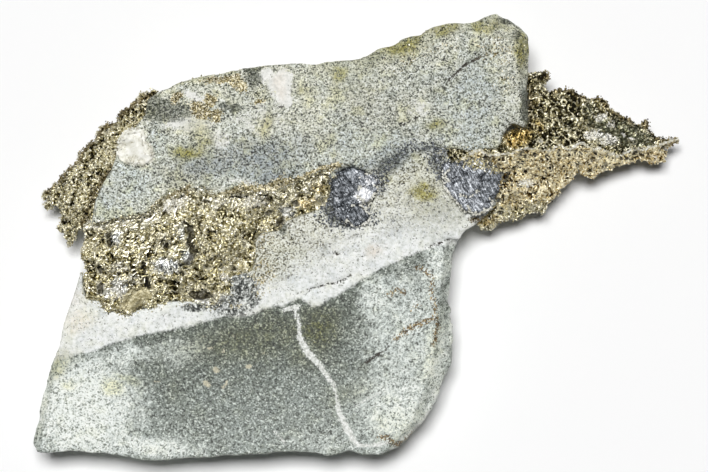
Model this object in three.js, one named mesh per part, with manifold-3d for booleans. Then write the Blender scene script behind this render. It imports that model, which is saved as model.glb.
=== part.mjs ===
// Native silver in matrix: a hand-sized slab of vein rock, sawn flat in front and broken all round, with
// native silver standing out of it where the carbonate has been dissolved away.
//
// Units are millimetres. +Z is up. The slab lies on its flat back, with its sawn face up.
// +X runs along the longest side, towards the long silver sheet. +Y runs from the grey host rock
// towards the vein block. The origin is under the middle of the object's box.
//
// matrix               the stone: host rock, calcite ramp and raised vein block, one solid
// silver_front_crust   the crumpled crust in the etched hollow below the vein block
// silver_left_spray    the crust that stands off the block's left wall
// silver_right_sheet   the ridged sheet that leaves the right end
// galena_right         blocky galena between the ramp and the right sheet
// galena_middle        blocky galena at the foot of the vein block
// calcite_grain        the pale grain at the block's left end

import * as THREE from "three";
import { mergeVertices } from "three/addons/utils/BufferGeometryUtils.js";
import Module from "manifold-3d";

const wasm = await Module();
wasm.setup();

// ---------------------------------------------------------------- driving dimensions

const FACE_HEIGHT = 12; // the sawn face of the host rock, above the flat back
const RAMP_SLOPE = 0.17; // the calcite climbs from the host rock to the vein block
const RAMP_TOP = 14.6;
const BLOCK_HEIGHT = 14.6; // the vein block's face at the middle of the slab
const BLOCK_TILT = { x: 0.02, y: 0.035 };
const SEAT_GAP = 0.3; // gap between each grown piece and the stone it sits in
const SEAT_HEIGHT = { crust: 9.5, sheet: 10.5, galena: 10.5, grain: 12.4 };
const GALENA_TOP = { right: 15.2, middle: 14.5 };
const GRAIN_PROUD = 0.4; // the pale grain stands this much above the block's face
const TALL = 40; // taller than the object, for cutters
const WALL_HEIGHT = 18; // the walls are made to here and cut off by the faces
const WALL_STEPS = 8;
const FACE_CELL = 2.5; // grid of the stone's faces
const SILVER_CELL = 1.15; // grid of the silver's lumps and the pale grain

// Outlines seen from above, going round once.
const SLAB_OUTLINE = [
  [-46.0, -29.8], [-45.3, -31.0], [-43.0, -31.0], [-40.5, -30.6], [-36.5, -30.9], [-33.9, -31.2], [-31.6, -31.8],
  [-28.8, -32.0], [-25.1, -31.8], [-20.0, -31.4], [-14.0, -31.1], [-8.3, -30.7], [-5.4, -30.9], [-3.7, -31.4],
  [-2.3, -31.1], [-0.7, -30.6], [1.3, -31.2], [3.7, -31.1], [6.4, -30.6], [8.1, -29.1], [10.0, -26.7],
  [12.1, -23.8], [13.5, -21.5], [14.3, -19.0], [14.7, -15.7], [14.8, -13.1], [14.3, -10.0], [14.5, -5.7],
  [14.3, -2.9], [14.8, -1.0], [16.0, 0.9], [18.2, 2.1], [20.2, 4.1], [21.5, 7.1], [22.2, 10.8],
  [24.2, 13.4], [24.8, 16.8], [24.8, 20.5], [23.1, 24.8], [16.5, 26.5], [6.6, 24.8], [-7.7, 22.2],
  [-22.0, 20.5], [-29.1, 18.0], [-33.1, 12.8], [-34.8, 8.8], [-36.8, 5.1], [-37.5, 2.0], [-37.9, -1.3],
  [-38.2, -3.7], [-39.3, -6.7], [-40.3, -9.7], [-41.2, -12.3], [-41.9, -15.4], [-43.2, -18.0], [-44.2, -21.1],
  [-45.2, -25.1],
];
const BLOCK_OUTLINE = [
  [-37.3, 2.1], [-37.2, 4.3], [-36.5, 6.5], [-35.3, 8.4], [-33.9, 9.6], [-33.2, 11.4], [-32.9, 13.3],
  [-31.8, 14.5], [-30.1, 15.0], [-29.7, 17.3], [-29.4, 19.3], [-27.8, 20.4], [-26.4, 21.0], [-24.4, 22.1],
  [-21.6, 22.7], [-18.4, 23.3], [-15.3, 23.8], [-9.9, 24.4], [-5.1, 24.4], [-2.0, 24.9], [0.9, 25.0],
  [2.3, 25.8], [3.7, 26.6], [5.1, 26.8], [6.7, 27.9], [9.4, 28.5], [11.1, 29.7], [13.3, 30.2],
  [16.5, 30.2], [18.4, 30.9], [20.2, 31.7], [22.1, 30.8], [23.7, 29.8], [24.8, 28.4], [25.0, 27.0],
  [24.7, 23.3], [24.5, 19.9], [24.8, 17.0], [24.4, 15.3], [22.4, 16.0], [21.3, 14.5], [20.4, 12.5],
  [16.5, 12.2], [13.1, 12.5], [11.1, 12.8], [8.5, 11.8], [6.2, 10.2], [3.7, 8.4], [-0.3, 9.6],
  [-2.6, 9.9], [-5.1, 9.1], [-7.7, 7.9], [-11.1, 6.2], [-15.3, 6.0], [-19.9, 5.8], [-23.3, 6.7],
  [-25.5, 5.5], [-27.5, 4.7], [-29.5, 3.3], [-33.5, 2.4],
];
const CRUST_OUTLINE = [
  [-38.6, 1.6], [-36.5, 2.6], [-33.6, 3.2], [-29.4, 4.1], [-27.5, 5.4], [-25.5, 6.3], [-23.3, 7.2],
  [-19.9, 6.6], [-15.4, 6.8], [-11.0, 7.0], [-7.5, 8.6], [-5.0, 9.4], [-3.5, 8.5], [-3.3, 6.3],
  [-4.0, 4.4], [-6.5, 3.6], [-10.0, 2.4], [-10.7, 0.9], [-13.1, 0.7], [-14.4, -0.7], [-14.2, -3.1],
  [-14.9, -5.0], [-17.9, -5.5], [-17.8, -7.5], [-19.1, -8.8], [-20.9, -9.7], [-23.3, -9.0], [-25.9, -9.0],
  [-27.9, -9.2], [-29.6, -10.0], [-32.2, -10.7], [-35.1, -10.4], [-36.1, -9.0], [-38.1, -8.7], [-38.3, -6.5],
  [-38.3, -4.3], [-38.9, -2.0], [-38.1, -0.3],
];
const SPRAY_OUTLINE = [
  [-27.6, 20.7], [-29.8, 20.6], [-31.0, 19.5], [-32.1, 18.3], [-33.3, 17.6], [-34.0, 16.6], [-35.1, 16.2],
  [-36.1, 15.6], [-36.7, 14.6], [-37.2, 13.3], [-38.4, 13.0], [-39.2, 12.3], [-39.6, 10.9], [-40.3, 10.0],
  [-40.9, 9.7], [-41.6, 8.6], [-42.3, 8.0], [-43.2, 7.6], [-43.8, 6.7], [-44.9, 6.4], [-44.5, 5.7],
  [-43.8, 5.3], [-44.2, 4.6], [-43.9, 4.0], [-42.9, 4.2], [-42.3, 3.7], [-42.5, 1.4], [-41.6, 0.6],
  [-41.0, -0.4], [-41.3, -1.4], [-40.7, -1.7], [-40.3, -1.0], [-40.3, 0.1], [-39.0, 1.7], [-37.0, 2.6],
  [-36.0, 4.6], [-34.5, 6.7], [-33.4, 8.6], [-31.9, 9.9], [-31.3, 11.5], [-30.9, 13.0], [-28.8, 14.2],
  [-27.8, 15.4], [-27.2, 18.5],
];
const SHEET_OUTLINE = [
  [23.6, 23.4], [26.5, 23.3], [27.5, 23.7], [27.9, 22.7], [27.5, 21.6], [27.8, 20.9], [29.2, 20.7],
  [30.4, 21.0], [31.4, 20.7], [32.7, 20.0], [34.5, 19.7], [35.7, 20.0], [36.1, 19.3], [36.7, 18.1],
  [38.4, 17.1], [40.3, 16.7], [42.3, 16.3], [42.7, 15.3], [43.6, 14.4], [44.9, 14.2], [45.8, 13.8],
  [46.5, 14.2], [46.6, 13.5], [45.3, 12.8], [45.3, 11.5], [44.2, 10.7], [42.9, 10.7], [41.5, 11.0],
  [40.0, 10.8], [38.0, 10.1], [36.4, 9.7], [35.4, 9.5], [34.8, 8.8], [34.0, 8.2], [33.2, 8.8],
  [32.1, 9.8], [31.4, 8.5], [30.2, 7.5], [29.1, 6.3], [28.1, 4.7], [27.5, 3.6], [25.3, 3.2],
  [22.2, 2.4], [19.3, 1.4], [17.6, 1.7], [16.8, 2.6], [17.9, 3.1], [19.5, 3.9], [20.1, 5.7],
  [20.6, 7.4], [21.0, 9.1], [20.2, 10.7], [18.2, 11.2], [16.5, 10.9], [14.4, 11.1], [13.4, 11.6],
  [14.2, 12.9], [20.0, 13.4], [21.8, 17.0],
];
const GALENA_RIGHT_OUTLINE = [
  [12.6, 10.3], [14.2, 10.2], [16.8, 10.8], [18.8, 10.5], [20.1, 9.6], [20.6, 8.3], [20.0, 6.4],
  [19.5, 4.2], [17.9, 3.4], [15.9, 3.9], [14.4, 5.7], [12.7, 7.8],
];
const GALENA_MIDDLE_OUTLINE = [
  [-2.8, 7.6], [-2.0, 9.0], [-0.6, 9.6], [1.4, 9.0], [3.1, 8.1], [3.0, 6.1], [2.2, 4.4],
  [1.9, 2.7], [0.6, 1.7], [-1.1, 1.5], [-2.5, 2.9], [-2.7, 5.4],
];
const GRAIN_OUTLINE = [
  [-33.1, 12.5], [-32.8, 13.6], [-32.1, 14.6], [-30.2, 14.9], [-29.9, 12.9], [-28.9, 12.1], [-28.8, 11.2],
  [-30.0, 10.4], [-32.1, 10.7], [-33.1, 10.8],
];
// Where the grey host rock ends and the calcite begins, from left to right.
const CONTACT_LINE = [
  [-43.3, -17.7], [-34.1, -15.2], [-25.8, -13.3], [-19.1, -11.5], [-13.1, -10.4], [-7.7, -8.8], [-3.0, -8.7],
  [2.0, -5.7], [6.8, -3.3], [12.5, -0.6], [16.0, 1.0],
];
// The crest of the right sheet, from its root to its tip, with the crest's height as third value.
const SHEET_CREST = [
  [13.8, 10.8, 14.6], [17.8, 12.0, 14.8], [20.5, 11.2, 14.4], [25.8, 12.2, 13.2], [32.2, 12.8, 11.6],
  [38.6, 11.4, 9.8], [42.9, 12.3, 8.8], [46.5, 13.6, 7.8],
];
// Hollows eaten into the front crust: place, radius and depth.
const CRUST_PITS = [
  [-29.8, -5.1, 1.7, 2.2], [-36.2, -6.2, 1.6, 2.0], [-34.8, -0.6, 1.3, 1.5], [-21.8, -8.0, 1.6, 1.8],
  [-23.6, 0.6, 1.2, 2.2], [-23.4, -2.2, 1.2, 2.2], [-16.4, -3.4, 1.5, 1.8], [-12.0, 3.6, 1.3, 1.5],
];
// Shallow hollows in the vein block's face, in the same form.
const BLOCK_HOLLOWS = [
  [-21.5, 17.6, 3.6, 0.9], [-27.0, 17.4, 3.0, 0.8], [-17.0, 20.6, 3.4, 0.8], [22.4, 14.8, 2.0, 0.8],
  [8.6, 13.6, 3.0, 0.5], [17.0, 23.4, 2.4, 0.4],
];
const SPRAY_PITS = [
  [-39.6, 6.6, 1.5, 1.4], [-35.6, 12.4, 1.4, 1.2], [-41.6, 3.2, 1.2, 1.2], [-32.6, 16.2, 1.2, 1.0],
];
const SHEET_PITS = [
  [24.6, 8.6, 1.6, 1.4], [29.6, 10.2, 1.4, 1.2], [27.2, 17.6, 1.8, 1.4], [33.6, 16.6, 1.6, 1.2],
  [39.6, 14.4, 1.3, 1.0], [23.2, 4.8, 1.4, 1.2],
];
// Broken facets along the rims of the faces: start, end, height at the line and fall in degrees.
// Each facet falls away to the left of the way from start to end.
const RIM_FACETS = [
  [[13.0, -0.8], [12.1, -9.1], 12, 55],
  [[12.2, -8.6], [11.3, -16.2], 12, 48],
  [[11.3, -15.8], [10.2, -21.4], 12, 40],
  [[10.4, -20.8], [7.6, -27.2], 12, 47],
  [[8.0, -26.4], [3.9, -31.0], 12, 56],
  [[-44.9, -31.6], [-42.0, -17.6], 12, 42],
  [[-28.8, 17.6], [-15.4, 22.6], 14.9, 34],
  [[1.4, 24.3], [13.2, 28.2], 15.4, 30],
  [[11.6, 28.4], [18.0, 29.0], 15.5, 38],
  [[16.9, 29.4], [21.3, 28.2], 15.7, 33],
  [[20.2, 28.4], [24.6, 26.8], 15.6, 47],
  [[23.2, 28.6], [23.4, 22.0], 15.6, 52],
  [[23.6, 22.4], [23.9, 15.0], 15.5, 62],
];
// Conchoidal bites out of the stone's walls: place and radii.
const SCARS = [
  [[26.2, 20.9, 12.0], [2.2, 2.6, 3.0]],
  [[18.0, -9.4, 4.4], [5.4, 7.5, 4.4]],
  [[-2.0, -34.4, 4.6], [10.0, 5.6, 4.4]],
  [[-29.0, -35.4, 3.2], [8.5, 5.8, 3.8]],
  [[-48.2, -23.5, 4.2], [5.4, 7.0, 4.0]],
  [[-44.0, -8.6, 3.4], [5.6, 5.6, 4.2]],
  [[-14.0, 28.2, 5.2], [9.5, 5.6, 5.4]],
  [[9.6, 34.2, 6.6], [7.5, 6.0, 5.2]],
  [[-32.6, 23.4, 3.2], [6.4, 6.0, 4.2]],
  [[28.6, 13.6, 3.0], [5.2, 5.6, 4.4]],
];

// ---------------------------------------------------------------- materials

const STONE = new THREE.MeshStandardMaterial({ color: "#98a09a", roughness: 0.9, metalness: 0 });
const SILVER = new THREE.MeshStandardMaterial({ color: "#b6a57c", roughness: 0.35, metalness: 1 });
const GALENA = new THREE.MeshStandardMaterial({ color: "#5b6470", roughness: 0.4, metalness: 0.8 });
const CALCITE = new THREE.MeshStandardMaterial({ color: "#e4ddd0", roughness: 0.6, metalness: 0 });

// ---------------------------------------------------------------- small helpers

// A repeatable random number from 0 to 1 for whole-number coordinates.
function hash(i, j, k) {
  let h = Math.imul(i, 374761393) ^ Math.imul(j, 668265263) ^ Math.imul(k, 1274126177);
  h = Math.imul(h ^ (h >>> 13), 1103515245);
  return ((h ^ (h >>> 16)) >>> 0) / 4294967296;
}

// Smooth noise from -1 to 1, with bumps about as wide as size.
function noise(x, y, z, size) {
  const [i, j, k] = [x, y, z].map((value) => Math.floor(value / size));
  const [u, v, w] = [x / size - i, y / size - j, z / size - k].map((t) => t * t * (3 - 2 * t));
  const mix = THREE.MathUtils.lerp;
  const edge = (dj, dk) => mix(hash(i, j + dj, k + dk), hash(i + 1, j + dj, k + dk), u);
  return 2 * mix(mix(edge(0, 0), edge(1, 0), v), mix(edge(0, 1), edge(1, 1), v), w) - 1;
}

// Broken stone: flat facets about as wide as size, each with its own depth and lean, from -1 to 1.
function facets(x, y, z, size) {
  let [nearest, value] = [Infinity, 0];
  const cell = [x, y, z].map((v) => Math.floor(v / size));
  for (let n = 0; n < 27; n += 1) {
    const at = cell.map((c, axis) => c + (Math.floor(n / 3 ** axis) % 3) - 1);
    const seed = at.map((c, axis) => (c + hash(at[0] + axis, at[1], at[2])) * size);
    const offset = [x - seed[0], y - seed[1], z - seed[2]];
    const distance = Math.hypot(...offset);
    if (distance >= nearest) continue;
    nearest = distance;
    const lean = (axis) => (1.6 * (hash(at[0], at[1] + axis, at[2] - 7) - 0.5) * offset[axis]) / size;
    value = 2 * hash(at[2], at[0], at[1] + 3) - 1 + lean(0) + lean(1) + lean(2);
  }
  return THREE.MathUtils.clamp(value, -1, 1);
}

// The other values along a line whose points run from left to right, at x.
function along(line, x) {
  const after = line.findIndex((point) => point[0] > x);
  if (after === 0) return line[0].slice(1);
  if (after < 0) return line.at(-1).slice(1);
  const [a, b] = [line[after - 1], line[after]];
  const share = (x - a[0]) / (b[0] - a[0]);
  return a.slice(1).map((value, n) => THREE.MathUtils.lerp(value, b[n + 1], share));
}

// Distance from a point to the nearest side of an outline.
function distanceTo(outline, x, y) {
  let nearest = Infinity;
  outline.forEach(([ax, ay], n) => {
    const [bx, by] = outline[(n + 1) % outline.length];
    const [dx, dy] = [bx - ax, by - ay];
    const share = THREE.MathUtils.clamp(((x - ax) * dx + (y - ay) * dy) / (dx * dx + dy * dy), 0, 1);
    nearest = Math.min(nearest, Math.hypot(x - ax - share * dx, y - ay - share * dy));
  });
  return nearest;
}

// The outline with every corner moved out by a distance.
function grown(outline, by) {
  const turn = Math.sign(THREE.ShapeUtils.area(outline.map(([x, y]) => new THREE.Vector2(x, y))));
  return outline.map(([x, y], n) => {
    const [px, py] = outline.at(n - 1);
    const [nx, ny] = outline[(n + 1) % outline.length];
    const length = Math.hypot(nx - px, ny - py);
    return [x + (turn * by * (ny - py)) / length, y - (turn * by * (nx - px)) / length];
  });
}

function toSolid(geometry) {
  const bare = geometry.clone();
  bare.deleteAttribute("normal");
  bare.deleteAttribute("uv");
  const merged = mergeVertices(bare, 1e-4);
  return new wasm.Manifold(
    new wasm.Mesh({
      numProp: 3,
      vertProperties: new Float32Array(merged.attributes.position.array),
      triVerts: new Uint32Array(merged.index.array),
    }),
  );
}

function toMesh(name, solid, material) {
  const { vertProperties, triVerts } = solid.getMesh();
  const indexed = new THREE.BufferGeometry();
  indexed.setAttribute("position", new THREE.BufferAttribute(vertProperties, 3));
  indexed.setIndex(new THREE.BufferAttribute(triVerts, 1));
  const geometry = indexed.toNonIndexed();
  geometry.computeVertexNormals();
  const mesh = new THREE.Mesh(geometry, material);
  mesh.name = name;
  return mesh;
}

// Moves every vertex of a geometry by a function of its place.
function reshape(geometry, move) {
  const position = geometry.attributes.position;
  for (let n = 0; n < position.count; n += 1) {
    position.setXYZ(n, ...move(position.getX(n), position.getY(n), position.getZ(n)));
  }
  return geometry;
}

function boxOf(outline) {
  return new THREE.Box2().setFromPoints(outline.map(([x, y]) => new THREE.Vector2(x, y)));
}

// ---------------------------------------------------------------- shape makers

// An upright column with the outline as its section.
function column(outline, low, high, steps = 1) {
  const shape = new THREE.Shape(outline.map(([x, y]) => new THREE.Vector2(x, y)));
  const geometry = new THREE.ExtrudeGeometry(shape, { depth: high - low, steps, bevelEnabled: false });
  return geometry.translate(0, 0, low);
}

// A column with a wall of broken stone: whole above a height, bitten below it, drawn in at the foot.
function brokenColumn(outline, centre, wholeFrom, bite, foot) {
  return reshape(column(outline, 0, WALL_HEIGHT, WALL_STEPS), (x, y, z) => {
    const below = 1 - THREE.MathUtils.smoothstep(z, wholeFrom - 2.5, wholeFrom);
    const rough = bite * below * (0.5 + 0.4 * facets(x, y, z, 6.5) + 0.1 * noise(x, y, z, 2.5));
    const drawn = foot * (1 - THREE.MathUtils.smoothstep(z, -1, 5));
    const share = 1 - (rough + drawn) / Math.hypot(x - centre[0], y - centre[1]);
    return [centre[0] + (x - centre[0]) * share, centre[1] + (y - centre[1]) * share, z];
  });
}

// A solid between two height functions, as a grid, cut to a wall.
function relief(outline, cell, top, bottom = () => -TALL, wall = column(outline, -TALL, TALL)) {
  const box = boxOf(outline);
  const size = box.getSize(new THREE.Vector2()).addScalar(2 * cell);
  const middle = box.getCenter(new THREE.Vector2());
  const cells = [Math.ceil(size.x / cell), Math.ceil(size.y / cell)];
  const grid = new THREE.BoxGeometry(size.x, size.y, 1, ...cells, 1).translate(middle.x, middle.y, 0);
  reshape(grid, (x, y, z) => [x, y, z > 0 ? top(x, y) : bottom(x, y)]);
  return toSolid(grid).intersect(toSolid(wall));
}

// What a rim facet takes away: all that lies over a plane falling to the left of the line.
function waste([start, end, height, fall]) {
  const [dx, dy] = [end[0] - start[0], end[1] - start[1]];
  const block = new THREE.BoxGeometry(Math.hypot(dx, dy) + 1, TALL, TALL).translate(0, TALL / 2, TALL / 2);
  block.rotateX(-THREE.MathUtils.degToRad(fall));
  block.rotateZ(Math.atan2(dy, dx));
  block.translate((start[0] + end[0]) / 2, (start[1] + end[1]) / 2, height);
  return toSolid(block);
}

// A rough pebble with flat sides.
function pebble(place, radii, seed) {
  const ball = new THREE.IcosahedronGeometry(1, 1);
  reshape(ball, (x, y, z) => {
    const swell = 1 + 0.16 * noise(x + seed, y, z, 0.7);
    return [x * swell * radii[0], y * swell * radii[1], z * swell * radii[2]];
  });
  return toSolid(ball.translate(...place));
}

// Lumps and ridges of crumpled silver, from about -1 to 1.
function crumple(x, y, seed) {
  const ridges = 1 - 2 * Math.abs(noise(x, y, seed, 4.2));
  return 0.5 * ridges + 0.5 * noise(x, y, seed + 9, 2.3);
}

function pitDepth(pits, x, y) {
  return pits.reduce((sum, [px, py, radius, depth]) => {
    const share = Math.hypot(x - px, y - py) / radius;
    return sum + depth * Math.exp(-share * share);
  }, 0);
}

// Cleaved crystal: leaning boxes with flat faces, grown together and kept inside an outline.
function cleavedCrystal(outline, floor, top, places, seed) {
  let crystal = toSolid(column(grown(outline, -0.4), floor, top - 2));
  places.forEach(([x, y, side], n) => {
    const lean = (k) => 0.5 * (hash(n, k, seed) - 0.5);
    const block = new THREE.BoxGeometry(side, side * (0.8 + lean(5)), 5);
    block.rotateX(lean(1)).rotateY(lean(2)).rotateZ(0.6 + 1.2 * lean(3));
    block.translate(x, y, top - 2.5 - 0.9 * hash(n, 4, seed));
    crystal = crystal.add(toSolid(block));
  });
  return crystal.intersect(toSolid(column(outline, floor, TALL)));
}

// ---------------------------------------------------------------- the stone

function faceHeight(x, y) {
  const above = Math.max(0, y - along(CONTACT_LINE, x)[0]);
  const hummock = 0.22 * noise(x, y, 0, 5) + 0.3 * facets(x, y, 0, 3.6);
  const height = Math.min(RAMP_TOP, FACE_HEIGHT + RAMP_SLOPE * above);
  return height + hummock * THREE.MathUtils.smoothstep(above, 1, 6);
}

function blockHeight(x, y) {
  const plane = BLOCK_HEIGHT + BLOCK_TILT.x * x + BLOCK_TILT.y * y;
  const lobe = 1.7 * THREE.MathUtils.smoothstep(-x, 27, 38);
  return plane - lobe - pitDepth(BLOCK_HOLLOWS, x, y) + 0.2 * noise(x, y, 7, 7) + 0.14 * facets(x, y, 3, 5);
}

function seatCut(outline, floor) {
  return toSolid(column(grown(outline, SEAT_GAP), floor, TALL));
}

function makeMatrix() {
  const slabWall = brokenColumn(SLAB_OUTLINE, [-8, -4], 10.5, 2.6, 2.2);
  const blockWall = brokenColumn(BLOCK_OUTLINE, [-6, 16.5], 12.5, 2.4, 1.6);
  const slab = relief(SLAB_OUTLINE, FACE_CELL, faceHeight, undefined, slabWall);
  const block = relief(BLOCK_OUTLINE, FACE_CELL, blockHeight, undefined, blockWall);
  let stone = slab
    .subtract(seatCut(CRUST_OUTLINE, SEAT_HEIGHT.crust))
    .subtract(seatCut(SHEET_OUTLINE, SEAT_HEIGHT.sheet))
    .add(block)
    .subtract(seatCut(GALENA_RIGHT_OUTLINE, SEAT_HEIGHT.galena))
    .subtract(seatCut(GALENA_MIDDLE_OUTLINE, SEAT_HEIGHT.galena))
    .subtract(seatCut(GRAIN_OUTLINE, SEAT_HEIGHT.grain));
  for (const facet of RIM_FACETS) stone = stone.subtract(waste(facet));
  SCARS.forEach(([place, radii], n) => {
    stone = stone.subtract(pebble(place, radii, 3 * n));
  });
  return stone;
}

// ---------------------------------------------------------------- the silver

// Room for the stone up to a height, so that grown pieces lie against its wall.
function stoneRoom(outline, high = TALL) {
  return toSolid(column(grown(outline, SEAT_GAP), -TALL, high));
}

function makeCrust() {
  const top = (x, y) => {
    const inside = THREE.MathUtils.smoothstep(distanceTo(CRUST_OUTLINE, x, y), 0, 3.5);
    return 12.9 + inside * (1 + 1.1 * crumple(x, y, 2)) - pitDepth(CRUST_PITS, x, y);
  };
  const wall = column(CRUST_OUTLINE, SEAT_HEIGHT.crust + SEAT_GAP, TALL);
  return relief(CRUST_OUTLINE, SILVER_CELL, top, undefined, wall)
    .subtract(stoneRoom(BLOCK_OUTLINE))
    .subtract(seatCut(GALENA_MIDDLE_OUTLINE, 0));
}

// A crumpled sheet about as thick as given, thin at its rim, lying along a height function.
function crumpledSheet({ outline, height, thick, lumps, pits, seed, lowest = TALL }) {
  const rim = (x, y) => 1 - THREE.MathUtils.smoothstep(distanceTo(outline, x, y), 0, 2);
  const top = (x, y) => {
    const lump = lumps * crumple(x, y, seed) - pitDepth(pits, x, y);
    return height(x, y) + lump * (1 - 0.7 * rim(x, y)) - 0.25 * thick * rim(x, y);
  };
  const bottom = (x, y) => {
    const under = Math.min(height(x, y) - thick, lowest) + 0.5 * noise(x, y, seed + 24, 3);
    return under + 0.4 * thick * rim(x, y);
  };
  return relief(outline, SILVER_CELL, top, bottom);
}

function makeSpray() {
  const height = (x, y) => 11.8 - 0.55 * distanceTo(BLOCK_OUTLINE, x, y);
  const form = { outline: SPRAY_OUTLINE, height, thick: 3.6, lumps: 1.1, pits: SPRAY_PITS, seed: 31 };
  return crumpledSheet(form)
    .subtract(stoneRoom(BLOCK_OUTLINE))
    .subtract(stoneRoom(SLAB_OUTLINE))
    .subtract(seatCut(GRAIN_OUTLINE, SEAT_HEIGHT.grain))
    .subtract(seatCut(CRUST_OUTLINE, SEAT_HEIGHT.crust));
}

function makeSheet() {
  const height = (x, y) => {
    const [crestY, crestZ] = along(SHEET_CREST, x);
    return crestZ - (y > crestY ? 0.3 * (y - crestY) : 0.55 * (crestY - y));
  };
  const form = { outline: SHEET_OUTLINE, height, thick: 3, lumps: 0.95, pits: SHEET_PITS, seed: 71, lowest: 10 };
  return crumpledSheet(form)
    .subtract(stoneRoom(BLOCK_OUTLINE))
    .subtract(stoneRoom(SLAB_OUTLINE, SEAT_HEIGHT.sheet + SEAT_GAP))
    .subtract(seatCut(GALENA_RIGHT_OUTLINE, 0));
}

// ---------------------------------------------------------------- galena and calcite

function makeGalenaRight() {
  const places = [
    [14.2, 8.9, 2.2], [15.8, 9.4, 2.0], [17.7, 9.3, 2.4], [19.3, 8.6, 2.0], [14.9, 7.0, 2.4], [16.9, 7.2, 2.6],
    [18.7, 6.6, 2.2], [16.0, 5.2, 2.2], [17.8, 4.8, 2.4],
  ];
  return cleavedCrystal(GALENA_RIGHT_OUTLINE, SEAT_HEIGHT.galena + SEAT_GAP, GALENA_TOP.right, places, 5);
}

function makeGalenaMiddle() {
  const places = [
    [-1.6, 7.6, 2.2], [0.1, 8.2, 2.0], [2.0, 7.6, 2.0], [1.5, 6.0, 2.0], [-1.7, 5.3, 2.0], [0.2, 5.2, 2.2],
    [-0.9, 3.2, 2.2], [0.9, 3.1, 2.0],
  ];
  return cleavedCrystal(GALENA_MIDDLE_OUTLINE, SEAT_HEIGHT.galena + SEAT_GAP, GALENA_TOP.middle, places, 8);
}

function makeGrain() {
  const top = (x, y) => blockHeight(x, y) + GRAIN_PROUD + 0.3 * facets(x, y, 5, 1.8);
  const wall = column(GRAIN_OUTLINE, SEAT_HEIGHT.grain + SEAT_GAP, TALL);
  return relief(GRAIN_OUTLINE, SILVER_CELL, top, undefined, wall);
}

// ---------------------------------------------------------------- assembly

const specimen = new THREE.Group();
specimen.add(
  toMesh("matrix", makeMatrix(), STONE),
  toMesh("silver_front_crust", makeCrust(), SILVER),
  toMesh("silver_left_spray", makeSpray(), SILVER),
  toMesh("silver_right_sheet", makeSheet(), SILVER),
  toMesh("galena_right", makeGalenaRight(), GALENA),
  toMesh("galena_middle", makeGalenaMiddle(), GALENA),
  toMesh("calcite_grain", makeGrain(), CALCITE),
);
const middle = new THREE.Box3().setFromObject(specimen).getCenter(new THREE.Vector3());
specimen.position.set(-middle.x, -middle.y, 0);

export default specimen;
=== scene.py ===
import math

import bmesh
import bpy
import numpy as np
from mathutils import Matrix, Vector, noise
from mathutils.bvhtree import BVHTree


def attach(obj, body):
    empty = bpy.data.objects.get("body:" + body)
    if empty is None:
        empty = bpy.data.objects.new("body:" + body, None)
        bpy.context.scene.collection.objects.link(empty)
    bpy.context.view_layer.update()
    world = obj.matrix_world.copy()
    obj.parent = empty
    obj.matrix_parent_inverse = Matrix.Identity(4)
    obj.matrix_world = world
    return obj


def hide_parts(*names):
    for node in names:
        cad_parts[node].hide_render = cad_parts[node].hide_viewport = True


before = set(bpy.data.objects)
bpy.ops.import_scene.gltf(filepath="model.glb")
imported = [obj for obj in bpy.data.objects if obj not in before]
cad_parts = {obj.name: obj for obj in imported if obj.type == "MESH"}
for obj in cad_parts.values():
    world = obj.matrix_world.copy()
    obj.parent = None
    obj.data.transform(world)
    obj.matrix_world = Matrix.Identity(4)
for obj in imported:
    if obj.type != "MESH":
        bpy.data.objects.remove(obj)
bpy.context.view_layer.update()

# Native silver in matrix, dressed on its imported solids. Every stone and silver piece is a fine copy of its
# solid with the relief that the solid leaves out, and thousands of silver grains, flakes and threads sit on
# it. Drawing lengths are millimetres; Blender's are metres.

# With this seed the swirls that bend the silver's folds and fray the patches come out the same each time.
SWIRL_SEED = 1795484603
noise.seed_set(SWIRL_SEED)

MM = 0.001
DRAWING_SHIFT = np.array([-0.35, 0.15])  # from the drawing's origin to the middle of the object's box

# Edge lengths of the fine skins, small against the relief that each carries.
STONE_SKIN, ROUGH_SKIN, CRUST_SKIN, SPRAY_SKIN, SHEET_SKIN, CRYSTAL_SKIN, LUMP_SKIN = (
    0.34, 0.25, 0.137, 0.12, 0.13, 0.12, 0.14)

ROCK_GRAIN, GALENA_GRAIN, CALCITE_GRAIN = 0.17, 0.21, 0.24  # widths of the grains in the finishes

# Half length, half width and half thickness of the small grains.
FINE_GRAIN, STRAY_GRAIN, SEAM_GRAIN = (0.20, 0.15, 0.12), (0.17, 0.14, 0.11), (0.32, 0.25, 0.2)
CREEPING_GRAIN, FLAKE = (0.24, 0.18, 0.14), (0.65, 0.18, 0.08)
CRUMB, LOOSE_CRUMB = (0.27, 0.22, 0.19), (0.23, 0.19, 0.16)
GRIT, LUMP_GRIT = (0.27, 0.22, 0.2), (0.3, 0.24, 0.2)

FOLD = 2.6  # width of the silver's broad folds
LIFT = 0.05  # how far scattered grains and threads stand out of the skin
OVERHEAD = 30  # a height well above every piece
CAMERA_HEIGHT, LENS = 0.612, 214.07  # in metres, and in millimetres of focal length
UP = Vector((0, 0, 1))

# What counts where a note is missing: a middling height, far below the sheet's crest line, far from any rim.
PLAIN = {"crest": 0.5, "upper": -9.0, "edge": 9.0}

# ---- lines on the stone, from left to right

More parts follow.
